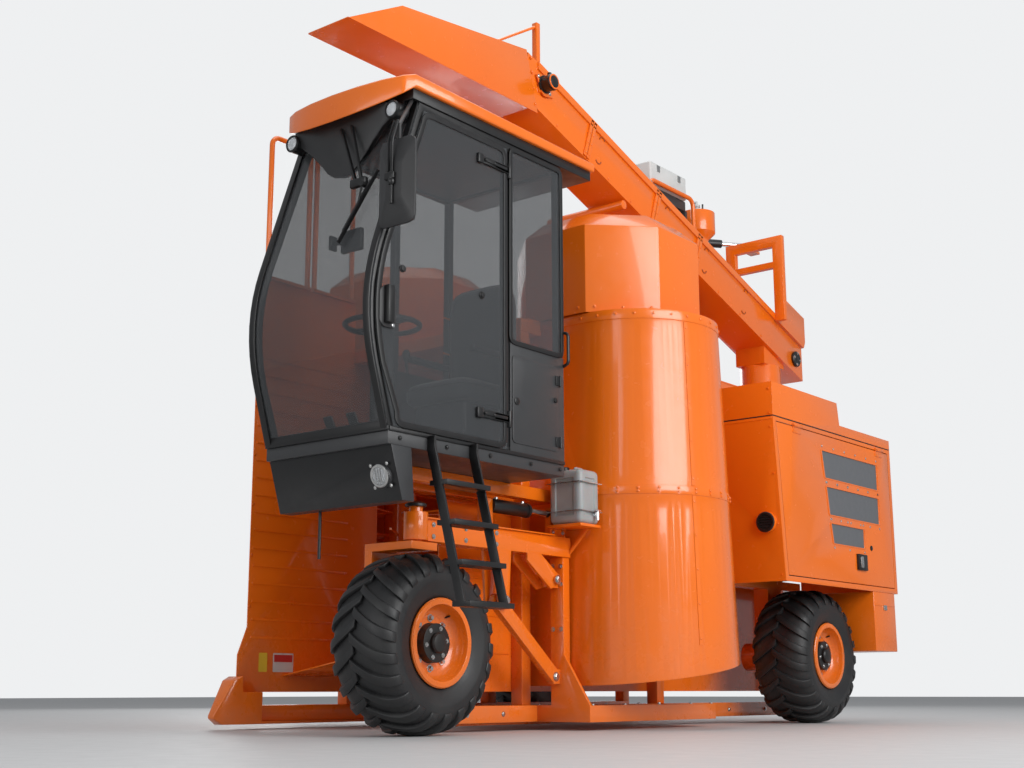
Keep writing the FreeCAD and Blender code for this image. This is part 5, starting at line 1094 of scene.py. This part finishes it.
def cover(side, x):
    """Bolts low on the eight faces of a drive cover, and the rotor's bearing on its top."""
    heads = []
    for index in range(8):
        out = Matrix.Rotation(math.radians(45 * index), 3, "Z") @ Vector(LEFT)
        foot = Vector((x, DRUM_Y, COVER_LOW)) + out * COVER_APOTHEM
        across = Vector((-out.y, out.x, 0))
        heads.append(bolts([foot + across * reach for reach in (-0.17, 0.0, 0.17)], out, *PANEL_BOLT))
    fitted(joined(heads), side + "_cover_bolts", ORANGE)
    cap = spun([(0.0, 0.0), (0.0, 0.115), (0.010, 0.115), (0.018, 0.105), (0.045, 0.085), (0.052, 0.0)],
               (x, DRUM_Y, COVER_TOP), UP, 36)
    fitted(cap, side + "_rotor_bearing", BLACK)


def seam(side, x, bearing):
    """A folded sheet joint up a drum, with its rivets."""
    turned = math.radians(bearing)
    out = Vector((math.cos(turned), math.sin(turned), 0))
    across = Vector((-out.y, out.x, 0)) * 0.014
    pieces, spots = [], []
    for low, high in DRUM_SEAMS:
        ends = [Vector((x, DRUM_Y, height)) + out * (drum_radius(height) + 0.0005) for height in (low, high)]
        proud = out * 0.003
        rings = [[end + across, end - across, end - across * 0.9 + proud, end + across * 0.9 + proud]
                 for end in ends]
        pieces.append(swept(rings))
        spots += [ends[0].lerp(ends[1], share) + proud for share in (0.04, 0.27, 0.5, 0.73, 0.96)]
    fitted(joined(pieces), "%s_drum_seam_%d" % (side, bearing % 360), ORANGE)
    fitted(bolts(spots, out, *SCREW), "%s_drum_rivets_%d" % (side, bearing % 360), ORANGE)


BOOM_SIDE, BOOM_INNER = 0.850, 0.550
BOOM_HEAD, BOOM_TAIL = (-0.825, 4.020), (2.595, 2.856)
BOOM_SLOPE = (BOOM_TAIL[1] - BOOM_HEAD[1]) / (BOOM_TAIL[0] - BOOM_HEAD[0])
BOOM_LENGTHEN = math.hypot(1, BOOM_SLOPE)
BOOM_DEPTH = 0.3095 / BOOM_LENGTHEN


def boom_side_spot(y, down, x):
    """A point on the boom's side, so far below its top line, squarely across the boom."""
    top = BOOM_HEAD[1] + (y - BOOM_HEAD[0]) * BOOM_SLOPE
    return Vector((x, y + down * BOOM_SLOPE / BOOM_LENGTHEN, top - down / BOOM_LENGTHEN))


def boom_joints(body):
    """Paired flanges across the boom's sides, with their bolts."""
    for index, y in enumerate((-0.148, 0.605, 1.129)):
        for x, out in ((BOOM_SIDE, 1), (BOOM_INNER, -1)):
            pieces, spots = [], []
            for shift in (-0.016, 0.016):
                top = boom_side_spot(y + shift, 0.006, x)
                low = boom_side_spot(y + shift, BOOM_DEPTH - 0.006, x)
                lift = Vector((out * 0.006, 0, 0))
                pieces.append(bevelled(bar(top + lift, low + lift, 0.028, 0.012, LEFT), 0.002))
                spots += [boom_side_spot(y + shift, down, x + out * 0.012)
                          for down in (0.03, 0.105, 0.18, 0.26)]
            tag = "%d_%s" % (index, "left" if out > 0 else "right")
            fitted(joined(pieces), "boom_joint_" + tag, ORANGE, body)
            fitted(bolts(spots, (out, 0, 0), *SHEET_BOLT), "boom_joint_bolts_" + tag, ORANGE, body)


def boom_slots(body):
    """Curved adjusting slots and the bolts along the boom's edges."""
    slots = []
    for y in (-0.03, 0.74, 1.24, 1.78):
        for down, turn in ((0.075, 1), (0.215, -1)):
            middle = boom_side_spot(y, down, BOOM_SIDE + 0.0012)
            arc = [middle + Vector((0, 0.030 * math.cos(a), turn * 0.030 * math.sin(a)))
                   for a in (math.radians(20 + 20 * step) for step in range(8))]
            slots.append(tube(arc, 0.0045, 0.001, 8))
    fitted(joined(slots), "boom_adjusting_slots", SHADOW_EDGE, body)
    face = BOOM_SIDE + 0.001
    upper = [boom_side_spot(y, 0.020, face) for y in (-0.70, -0.45, 0.10, 0.35, 0.86, 1.45, 1.75, 2.05, 2.35)]
    lower = [boom_side_spot(y, BOOM_DEPTH - 0.022, face) for y in (-0.45, 0.10, 0.35, 0.86, 1.45, 1.75, 2.05)]
    fitted(bolts(upper + lower, LEFT, *SHEET_BOLT), "boom_edge_bolts", ORANGE, body)


BOOM_MOTOR = Vector((0.8625, -0.683, 3.850))


def boom_motor(body):
    """The belt motor with its ports, its seat and bolts."""
    motor = [spun([(0.0, 0.0), (0.0, 0.058), (0.010, 0.058), (0.012, 0.0495), (0.056, 0.0495), (0.060, 0.052),
                   (0.070, 0.052), (0.078, 0.0495), (0.084, 0.036), (0.0865, 0.0)], BOOM_MOTOR, LEFT, 36)]
    motor += [disc(BOOM_MOTOR + Vector((0.0425, ahead, lift)), (0, ahead, lift), 0.013, 0.030, 16)
              for ahead, lift in ((0.0, 0.052), (0.045, 0.028))]
    fitted(joined(motor), "boom_motor", BLACK, body)
    seat = on_side(0.862, ((-0.770, 3.900), (-0.660, 3.915), (-0.600, 3.790), (-0.700, 3.770)))
    seat = bevelled(slab(rounded_outline(seat, 0.03), (0.008, 0, 0)), 0.002)
    fitted(seat, "boom_motor_seat", ORANGE, body)
    fitted(bolts([(0.870, -0.745, 3.885), (0.870, -0.635, 3.805), (0.870, -0.672, 3.902)], LEFT, *FRAME_HEX),
           "boom_motor_bolts", STEEL, body)


BOOM_FOOT_Y, BOOM_FOOT_Z = 2.480, 2.700


def boom_and_spout():
    body = body_of_node("boom")
    dressed("boom", ORANGE, 2.5 * MM)
    dressed("spout", ORANGE, 2.5 * MM)
    boom_joints(body)
    boom_slots(body)
    boom_motor(body)
    spots = [(0.8555, y, z) for y, z in ((-0.800, 3.990), (-0.790, 3.900), (-0.775, 3.800), (-0.760, 3.700))]
    fitted(bolts(spots, LEFT, *PANEL_BOLT), "spout_joint_bolts", ORANGE, body)
    shaft = bevelled(disc((0.700, BOOM_FOOT_Y, BOOM_FOOT_Z), LEFT, 0.035, 0.345, 28), 0.003)
    fitted(shaft, "boom_foot_shaft", BLACK, body)
    bearing = spun([(0.0, 0.030), (0.0, 0.060), (0.014, 0.060), (0.020, 0.052), (0.020, 0.030)],
                   (0.853, BOOM_FOOT_Y, BOOM_FOOT_Z), LEFT, 32)
    fitted(bearing, "boom_foot_bearing", BLACK, body)
    heads = round_spots((0.872, BOOM_FOOT_Y, BOOM_FOOT_Z), LEFT, 0.045, 4, 0.6)
    fitted(hexagons(heads, LEFT, *HUB_HEX), "boom_foot_bolts", STEEL, body)


HOOD_SIDE = 1.500
HOOD_SEAM, HOOD_LOW = 1.913, 0.890
HOOD_FRONT, HOOD_FRONT_LOW = 0.873, 0.960
GRILLE_OPENINGS = (((1.545, 1.800), (2.392, 1.800), (2.392, 1.614), (1.582, 1.614)),
                   ((1.595, 1.558), (2.392, 1.558), (2.392, 1.368), (1.626, 1.368)),
                   ((1.639, 1.313), (2.128, 1.313), (2.128, 1.179), (1.666, 1.179)))


def hood_front_at(height):
    """The hood's front face leans back below its seam."""
    below = max(0.0, HOOD_SEAM - height) / (HOOD_SEAM - HOOD_LOW)
    return HOOD_FRONT + (HOOD_FRONT_LOW - HOOD_FRONT) * below


def hood_grilles():
    """Punched sheet in each opening, its folded border and its screws."""
    body = body_of_node("hood_door")
    dressed("hood_door_fittings", BLACK, 1 * MM)
    sheets, folds, spots = [], [], []
    for opening in GRILLE_OPENINGS:
        edge = on_side(HOOD_SIDE - 0.005, opening)
        sheets.append(slab(edge, (0.002, 0, 0)))
        middle = sum(edge, Vector()) / 4
        wider = [spot + (spot - middle).normalized() * 0.022 for spot in edge]
        fold = [spot + Vector((0.005, 0, 0)) for spot in rounded_outline(wider, 0.02)]
        folds.append(bevelled(border(fold, 0.008, (0.003, 0, 0)), 0.001))
        (near, top), (far, _), (_, low), (near_low, _) = opening
        count = max(3, round((far - near) / 0.14))
        for index in range(count):
            share = index / (count - 1)
            spots += [Vector((HOOD_SIDE, near + (far - near) * share, top + 0.028)),
                      Vector((HOOD_SIDE, near_low + (far - near_low) * share, low - 0.028))]
    fitted(joined(sheets), "grille_sheets", GRILLE, body)
    fitted(joined(folds), "grille_folds", ORANGE, body)
    fitted(bolts(spots, LEFT, 0.006, 0.005), "grille_screws", STEEL, body)


VENT = Vector((1.403, 0.901, 1.262))


def hood_vent():
    """Round opening in the hood's front, with its ring, slats and the dark behind them."""
    ring = spun([(0.0, 0.048), (0.0, 0.064), (0.006, 0.066), (0.010, 0.060), (0.010, 0.050)], VENT, FRONT, 40)
    fitted(ring, "hood_vent_ring", BLACK)
    slats = []
    for lift, reach in ((-0.032, 0.036), (-0.016, 0.045), (0.0, 0.048), (0.016, 0.045), (0.032, 0.036)):
        middle, half = VENT + Vector((0, -0.005, lift)), Vector((reach, 0, 0))
        slats.append(bar(middle - half, middle + half, 0.004, 0.012, (0, -1, 1)))
    fitted(joined(slats), "hood_vent_slats", BLACK)
    fitted(disc(VENT + Vector((0, -0.0015, 0)), REAR, 0.052, 0.004, 40), "hood_vent_dark", SHADOW)


def folded_edge(start, end, facing):
    """The slightly raised fold of a sheet, between two points."""
    return bevelled(bar(start, end, 0.014, 0.004, facing), 0.001)


def end_faces(side, name):
    """Bolts and folds on the front and rear faces of one rear body."""
    lean = (0, -1, -(HOOD_FRONT_LOW - HOOD_FRONT) / (HOOD_SEAM - HOOD_LOW))
    low = [(side * x, hood_front_at(z), z) for x in (0.78, 1.475) for z in (0.93, 1.25, 1.57, 1.87)]
    high = [(side * x, HOOD_FRONT, z) for x in (0.78, 1.475) for z in (1.96, 2.12)]
    heads = joined([bolts(low, lean, *SHEET_BOLT), bolts(high, FRONT, *SHEET_BOLT)])
    fitted(heads, name + "_front_bolts", ORANGE)
    start, end = [(side * x, HOOD_FRONT - 0.001, HOOD_SEAM + 0.012) for x in (0.745, 1.495)]
    fitted(folded_edge(start, end, REAR), name + "_front_fold", ORANGE)
    rear = [(side * x, 2.640, z) for x in (0.80, 1.14, 1.46) for z in (0.96, 1.40, 1.90)]
    fitted(bolts(rear, REAR, *SHEET_BOLT), name + "_rear_bolts", ORANGE)


def hood_gaps():
    """Thin dark gaps where the hood's sheets meet."""
    seam_z, front = HOOD_SEAM + 0.028, HOOD_FRONT - 0.0005
    gaps = [bar((0.740, front, seam_z), (1.501, front, seam_z), 0.007, 0.003, REAR),
            bar((1.5005, HOOD_FRONT - 0.001, seam_z), (1.5005, 2.625, seam_z), 0.007, 0.003, LEFT),
            bar((0.850, hood_front_at(0.91) - 0.0005, 0.91), (0.850, front, HOOD_SEAM), 0.005, 0.003, REAR)]
    fitted(joined(gaps), "hood_sheet_gaps", SHADOW)


def tank_side():
    """The right rear body: fuel tank with its cap, folds and bolts on the outer sheet."""
    dressed("tank_housing", ORANGE, 5 * MM, 3)
    dressed("fuel_tank", PLASTIC, 30 * MM, 4)
    lid = spun([(0.0, 0.0), (0.0, 0.055), (0.012, 0.058), (0.030, 0.056), (0.036, 0.046), (0.038, 0.0)],
               (-1.20, 2.45, 2.010), UP, 36)
    fitted(lid, "fuel_cap", BLACK)
    folds = [folded_edge((-1.501, y, 0.91), (-1.501, y, 1.90), LEFT) for y in (1.45, 2.05)]
    folds.append(folded_edge((-1.501, 0.90, 1.925), (-1.501, 2.62, 1.925), LEFT))
    fitted(joined(folds), "tank_housing_folds", ORANGE)
    heads = [(-1.500, y, z) for y in (1.01, 1.41, 1.49, 2.01, 2.09, 2.60) for z in (0.93, 1.42, 1.88)]
    fitted(bolts(heads, RIGHT, *SHEET_BOLT), "tank_housing_bolts", ORANGE)


def hood():
    """Engine covers with their grilles, lock, latch, vent and folded seams, and the box below."""
    dressed("engine_hood", ORANGE, 5 * MM, 3)
    dressed("hood_door", ORANGE, 3 * MM)
    hood_grilles()
    body = body_of_node("hood_door")
    fitted(sheet_lock((HOOD_SIDE, 2.236, 1.190), 0.018), "hood_lock", BLACK, body)
    paddle = slab(rounded_outline(upright(1.518, 2.020, 2.062, 1.040, 1.118), 0.012), (0.005, 0, 0))
    fitted(bevelled(paddle, 0.002), "hood_latch_paddle", STEEL, body)
    hood_vent()
    for side, name in ((1, "hood"), (-1, "tank_housing")):
        end_faces(side, name)
    hood_gaps()
    tank_side()
    dressed("rear_box", ORANGE, 6 * MM, 3)
    lid_fold = bevelled(bar((1.501, 2.245, 0.80), (1.501, 2.570, 0.80), 0.012, 0.004, LEFT), 0.001)
    fitted(lid_fold, "rear_box_lid_fold", ORANGE)
    fitted(rounded_box((1.500, 2.38, 0.765), (1.508, 2.43, 0.80), 0.002), "rear_box_catch", STEEL)


def engine():
    """Cast block with its head, cover, sump, flywheel housing, ports and belt pulleys, inside the hood."""
    parts = [rounded_box((0.930, 1.180, 1.080), (1.280, 1.980, 1.480), 0.02, 3),
             rounded_box((0.950, 1.200, 1.480), (1.260, 1.960, 1.640), 0.02, 3),
             rounded_box((0.975, 1.230, 1.640), (1.235, 1.930, 1.738), 0.03, 4),
             rounded_box((0.960, 1.260, 0.962), (1.250, 1.900, 1.080), 0.03, 3),
             bevelled(disc((1.105, 2.060, 1.280), REAR, 0.195, 0.170, 40), 0.012, 3)]
    parts += [disc((0.925, 1.260 + index * 0.128, 1.560), LEFT, 0.028, 0.060, 20) for index in range(6)]
    fitted(joined(parts), "engine_casting", IRON, stands_for=("engine_block",))
    pulleys = []
    for x, z, radius in ((1.105, 1.150, 0.095), (1.105, 1.400, 0.075), (1.240, 1.300, 0.050)):
        groove = [(0.0, 0.0), (0.0, radius), (0.006, radius), (0.012, radius * 0.86), (0.018, radius),
                  (0.024, radius), (0.024, 0.0)]
        pulleys.append(spun(groove, (x, 1.178, z), FRONT, 36))
    fitted(joined(pulleys), "engine_pulleys", STEEL)


FIN_GAP, FINS = 0.0125, 100
FAN_X, FAN_Y = 0.400, 1.850


def cooler():
    """Radiator with its tanks, pipes and fins, the pale air box and the guard's bolts."""
    core = [rounded_box((0.290, 1.065, 2.390), (0.470, 1.575, 2.480), 0.01),
            rounded_box((0.290, 1.065, 3.730), (0.470, 1.575, 3.810), 0.01),
            rounded_box((0.280, 1.065, 2.480), (0.480, 1.095, 3.730), 0.004),
            rounded_box((0.280, 1.545, 2.480), (0.480, 1.575, 3.730), 0.004)]
    fitted(joined(core), "cooler_frame", CAB_GREY, stands_for=("cooler",))
    fin = block((0.300, 1.096, 2.484), (0.460, 1.544, 2.487))
    stack = [copied(fin, Matrix.Translation((0, 0, FIN_GAP * index))) for index in range(1, FINS)]
    pipes = [disc((x, y, 3.105), UP, 0.006, 1.250, 10) for x in (0.34, 0.42) for y in (1.20, 1.32, 1.44)]
    fitted(joined([fin] + stack + pipes), "cooler_fins", IRON)
    dressed("air_box", PALE, 14 * MM, 4)
    lid = rounded_box((0.283, 1.083, 3.965), (0.477, 1.557, 3.9905), 0.006, 3)
    fitted(lid, "air_box_lid", PALE)
    clips = [rounded_box((0.483, y - 0.02, 3.925), (0.490, y + 0.02, 3.975), 0.002) for y in (1.18, 1.46)]
    fitted(joined(clips), "air_box_clips", STEEL)
    heads = [(0.523, y, z) for y in (1.025, 1.615) for z in (2.45, 2.95, 3.45, 3.80)]
    fitted(bolts(heads, LEFT, *SHEET_BOLT), "cooler_guard_bolts", STEEL)


def fan():
    """The fan's hub cap, the cross over its duct, and the beacon and pipe on top."""
    crown = spun([(0.0, 0.0), (0.0, 0.055), (0.016, 0.055), (0.022, 0.048), (0.030, 0.0)],
                 (FAN_X, FAN_Y, 3.762), UP, 32)
    fitted(crown, "fan_hub_cap", BLACK, body_of_node("fan_rotor"))
    middle = Vector((FAN_X, FAN_Y, 3.790))
    arms = [bevelled(bar(middle - half, middle + half, 0.020, 0.006), 0.001)
            for half in (Vector((0.132, 0, 0)), Vector((0, 0.132, 0)))]
    fitted(joined(arms), "fan_cross", ORANGE)
    post = spun([(0.0, 0.0), (0.0, 0.030), (0.012, 0.030), (0.014, 0.018), (0.060, 0.018), (0.064, 0.026),
                 (0.078, 0.026), (0.084, 0.012), (0.110, 0.010), (0.112, 0.0)], (FAN_X, FAN_Y, 3.793), UP, 28)
    fitted(post, "fan_beacon", PALE)
    elbow = tube([(0.418, FAN_Y, 3.820), (0.450, FAN_Y, 3.822), (0.452, FAN_Y, 3.870)], 0.007, 0.012)
    fitted(elbow, "fan_pipe", BLACK)


def water_can():
    """Moulded hand-wash tank with its recessed sides, cap, grip, tap and straps."""
    low, high = Vector((0.977, -0.818, 1.1205)), Vector((1.198, -0.632, 1.425))
    can = rounded_box(low, high, 0.030, 5)
    only(can)
    bpy.ops.object.mode_set(mode="EDIT")
    bpy.ops.mesh.select_mode(type="FACE")
    bpy.ops.mesh.select_all(action="DESELECT")
    mesh = bmesh.from_edit_mesh(can.data)
    for face in mesh.faces:
        face.select = face.calc_area() > 0.02 and abs(face.normal.z) < 0.5
    bmesh.update_edit_mesh(can.data)
    bpy.ops.mesh.inset(thickness=0.016, depth=0, use_individual=True)
    bpy.ops.mesh.inset(thickness=0.006, depth=-0.006, use_individual=True)
    bpy.ops.object.mode_set(mode="OBJECT")
    fitted(can, "wash_tank", TANK, stands_for=("water_tank",))
    neck = spun([(0.0, 0.0), (0.0, 0.034), (0.004, 0.034), (0.006, 0.030), (0.018, 0.030), (0.022, 0.026),
                 (0.022, 0.0)], (1.060, -0.780, 1.420), UP, 32)
    fitted(neck, "wash_tank_cap", BLACK)
    grip = tube([(1.110, -0.745, 1.422), (1.110, -0.745, 1.438), (1.110, -0.680, 1.438),
                 (1.110, -0.680, 1.422)], 0.008, 0.012)
    fitted(grip, "wash_tank_grip", TANK)
    tap = joined([disc((1.204, -0.690, 1.175), LEFT, 0.014, 0.026, 20),
                  disc((1.222, -0.690, 1.165), UP, 0.010, 0.046, 16),
                  rounded_box((1.212, -0.715, 1.190), (1.232, -0.665, 1.198), 0.002)])
    fitted(tap, "wash_tank_tap", CHROME)
    strap = [bar((0.972, -0.823, z), (1.203, -0.823, z), 0.004, 0.016, REAR) for z in (1.190, 1.350)]
    strap += [bar((1.203, -0.823, z), (1.203, -0.628, z), 0.004, 0.016, LEFT) for z in (1.190, 1.350)]
    fitted(joined(strap), "wash_tank_straps", STEEL)


CYLINDER_X, CYLINDER_Z = 0.940, 1.190


def level_cylinder():
    """The levelling cylinder with its bright rod, gland and ports."""
    dressed("level_cylinder", BLACK, 2 * MM)
    rod = disc((CYLINDER_X, -0.885, CYLINDER_Z), REAR, 0.0206, 0.160, 28)
    fitted(rod, "level_rod", CHROME)
    gland = spun([(0.0, 0.021), (0.0, 0.041), (0.020, 0.041), (0.026, 0.034), (0.026, 0.021)],
                 (CYLINDER_X, -0.990, CYLINDER_Z), REAR, 32)
    fitted(gland, "level_gland", BLACK)
    ports = [disc((CYLINDER_X, y, 1.228), UP, 0.012, 0.018, 16) for y in (-1.240, -1.010)]
    fitted(joined(ports), "level_ports", STEEL)


def axle_and_mast():
    """Pin heads and bolts of the front arm and mast, the arm's top flange and the steering arm."""
    level_cylinder()
    dressed("lower_link", ORANGE, 4 * MM)
    dressed("front_knuckle", ORANGE, 5 * MM, 3)
    pins = [(1.0115, -1.235, 0.682), (1.0115, -0.784, 0.818), (0.9615, -0.740, 0.290),
            (0.9615, -1.235, 0.682)]
    side = [(0.9965, y, z) for y in (-1.80, -1.55, -1.30) for z in (0.975, 1.035)]
    ear = [(0.9605, y, z) for y, z in ((-0.755, 1.090), (-0.665, 1.090), (-0.755, 1.195), (-0.665, 1.195))]
    mast = [(x, -0.7015, z) for x in (0.912, 0.968) for z in (0.55, 0.80, 0.90)]
    for name, spots, axis, head in (("arm_pin_heads", pins, LEFT, (0.018, 0.012)),
                                    ("arm_side_bolts", side, LEFT, FRAME_HEX),
                                    ("arm_ear_bolts", ear, LEFT, FRAME_HEX),
                                    ("mast_bolts", mast, FRONT, RAIL_HEX)):
        fitted(hexagons(spots, axis, *head), name, STEEL)
    top_flange = rounded_box((0.868, -1.895, 1.0605), (1.012, -0.80, 1.068), 0.002)
    fitted(top_flange, "arm_top_flange", ORANGE)
    body = body_of_node("front_knuckle")
    nut = spun([(0.0, 0.0), (0.0, 0.055), (0.012, 0.055), (0.018, 0.045), (0.024, 0.030), (0.026, 0.0)],
               (0.960, -1.895, 1.120), UP, 32)
    fitted(nut, "king_pin_cap", BLACK, body)
    arm = bevelled(bar((0.720, -1.895, 0.900), (0.720, -1.700, 0.900), 0.030, 0.020), 0.004)
    fitted(arm, "steering_arm", ORANGE, body)


# Outer x and height of the rails' top and foot, then the steps.
LADDER_TOP, LADDER_FOOT = (1.325, 1.350), (1.520, 0.590)
LADDER_STEPS, LADDER_STEP, LADDER_TREAD = 4, 0.190, 0.024


def ladder():
    """Side rails and steps, with raised ridges along each step."""
    dressed("ladder", BLACK, 3 * MM)
    grips = []
    for index in range(LADDER_STEPS):
        height = LADDER_FOOT[1] + LADDER_TREAD + LADDER_STEP * index
        share = (LADDER_TOP[1] + LADDER_TREAD - height) / (LADDER_TOP[1] - LADDER_FOOT[1])
        inner = LADDER_TOP[0] + (LADDER_FOOT[0] - LADDER_TOP[0]) * share - 0.040
        for ridge in range(5):
            x = inner + 0.018 * ridge
            grips.append(block((x, -2.160, height), (x + 0.006, -1.900, height + 0.004)))
    fitted(joined(grips), "ladder_grips", BLACK)


SHIELD_FACE = -0.649


def tunnel_sheets():
    """Handrail feet, pressed ribs along the tunnel's sheets and the shield's bolts."""
    feet = [disc((-0.653, y, 2.712), UP, 0.030, 0.010, 20) for y in (-1.525, -0.800)]
    fitted(joined(feet), "handrail_feet", ORANGE)
    ribs = []
    for x, front in ((0.658, -1.36), (-0.658, -1.56)):
        for index in range(10):
            z = 0.42 + index * 0.205
            ribs.append(bevelled(bar((x, front, z), (x, -0.78, z), 0.010, 0.005, LEFT), 0.001))
    for index in range(17):
        z = 0.52 + index * 0.105
        rib = bar((SHIELD_FACE, -1.560, z), (SHIELD_FACE, -0.790, z), 0.014, 0.005, LEFT)
        ribs.append(bevelled(rib, 0.002))
    fitted(joined(ribs), "tunnel_sheet_ribs", ORANGE)
    heads = [(SHIELD_FACE, -1.575, z) for z in (0.70, 1.00, 1.30, 1.60, 1.90, 2.20, 2.50)]
    fitted(bolts(heads, LEFT, 0.008, 0.005), "shield_bolts", ORANGE)


def shield_plates():
    """Two blank plates low on the shield."""
    for name, front, rear, finish in (("warning_plate", -1.49, -1.425, YELLOW),
                                      ("notice_plate", -1.38, -1.22, PALE)):
        outline = rounded_outline(upright(SHIELD_FACE + 0.0005, front, rear, 0.325, 0.435), 0.006, 2)
        fitted(slab(outline, (0.001, 0, 0)), name, finish)
    band = slab(upright(SHIELD_FACE + 0.0015, -1.372, -1.228, 0.383, 0.425), (0.0006, 0, 0))
    fitted(band, "notice_plate_band", RED)


def row_marker():
    """The thin rod under the cab that shows the driver where the row is."""
    marker = tube([(0.695, -2.300, 1.120), (0.695, -2.300, 0.844)], 0.008, 0.01)
    fitted(marker, "row_marker", BLACK)
    socket = bevelled(disc((0.695, -2.300, 1.095), UP, 0.020, 0.030, 20), 0.002)
    fitted(socket, "row_marker_socket", STEEL)


def frame_bolts():
    """Bolts on the sills and along the lower rails."""
    sill = [(x, y, 0.1365) for x in (0.775, 1.150) for y in (-0.66, -0.35, 0.0, 0.35, 0.58)]
    fitted(hexagons(sill, UP, *FRAME_HEX), "sill_bolts", STEEL)
    for side, name, out in ((1, "left", LEFT), (-1, "right", RIGHT)):
        spots = [(side * 0.7965, y, 0.090) for y in (-1.30, -1.00, 0.90, 1.40, 1.90, 2.30)]
        fitted(hexagons(spots, out, *RAIL_HEX), "rail_bolts_" + name, STEEL)


def machine_body():
    drums()
    boom_and_spout()
    hood()
    engine()
    cooler()
    fan()
    water_can()
    axle_and_mast()
    ladder()
    tunnel_sheets()
    shield_plates()
    row_marker()
    frame_bolts()


# ---- dressing ----------------------------------------------------------------------------------

# Edge radius, in millimetres, of the folded and welded parts.
PLAIN_EDGES = (("lower_rails", 4), ("frame_posts", 4), ("top_frame", 4), ("front_arm", 4),
               ("front_mast", 4), ("rear_frames", 4), ("cab_floor", 3), ("cab_mounts", 3),
               ("cab_frame", 3), ("cab_panels", 2), ("slew_stand", 4), ("boom_rest", 2),
               ("crop_dividers", 6), ("boom_yoke", 4), ("spout_stay", 2), ("tunnel_walls", 1.5))
# Parts of tube or thin sheet whose edges stay as they are or nearly so.
THIN_EDGES = (("top_deck", 0.5), ("catcher_plates", 2), ("handrails", 0), ("cooler_guard", 0),
              ("fan_housing", 1.5))


def plain_metalwork():
    """Folded and welded parts that keep their shape and get soft edges; the front faces of the wedge under
    the cab are painted black as painted shade.
    """
    for node, edge in PLAIN_EDGES:
        slot = next(part["material_slot"] for part in frame["record"]["subparts"] if part["node"] == node)
        finish = BLACK if node == "cab_frame" else FINISH_OF_SLOT[slot]
        whole = dressed(node, finish, edge * MM)
        if node == "cab_panels":
            # The front faces of the wedge below the cab floor are painted black as painted shade; the panel
            # is the grey of its sides.
            whole.data.materials.append(BLACK)
            for face in whole.data.polygons:
                face.material_index = int(face.center.z < WEDGE_SHADE_TOP and face.normal.y < -0.5)
    for node, edge in THIN_EDGES:
        dressed(node, ORANGE, edge * MM)


camera()
studio()
paint_cad_pieces()
plain_metalwork()
wheels()
cab()
machine_body()
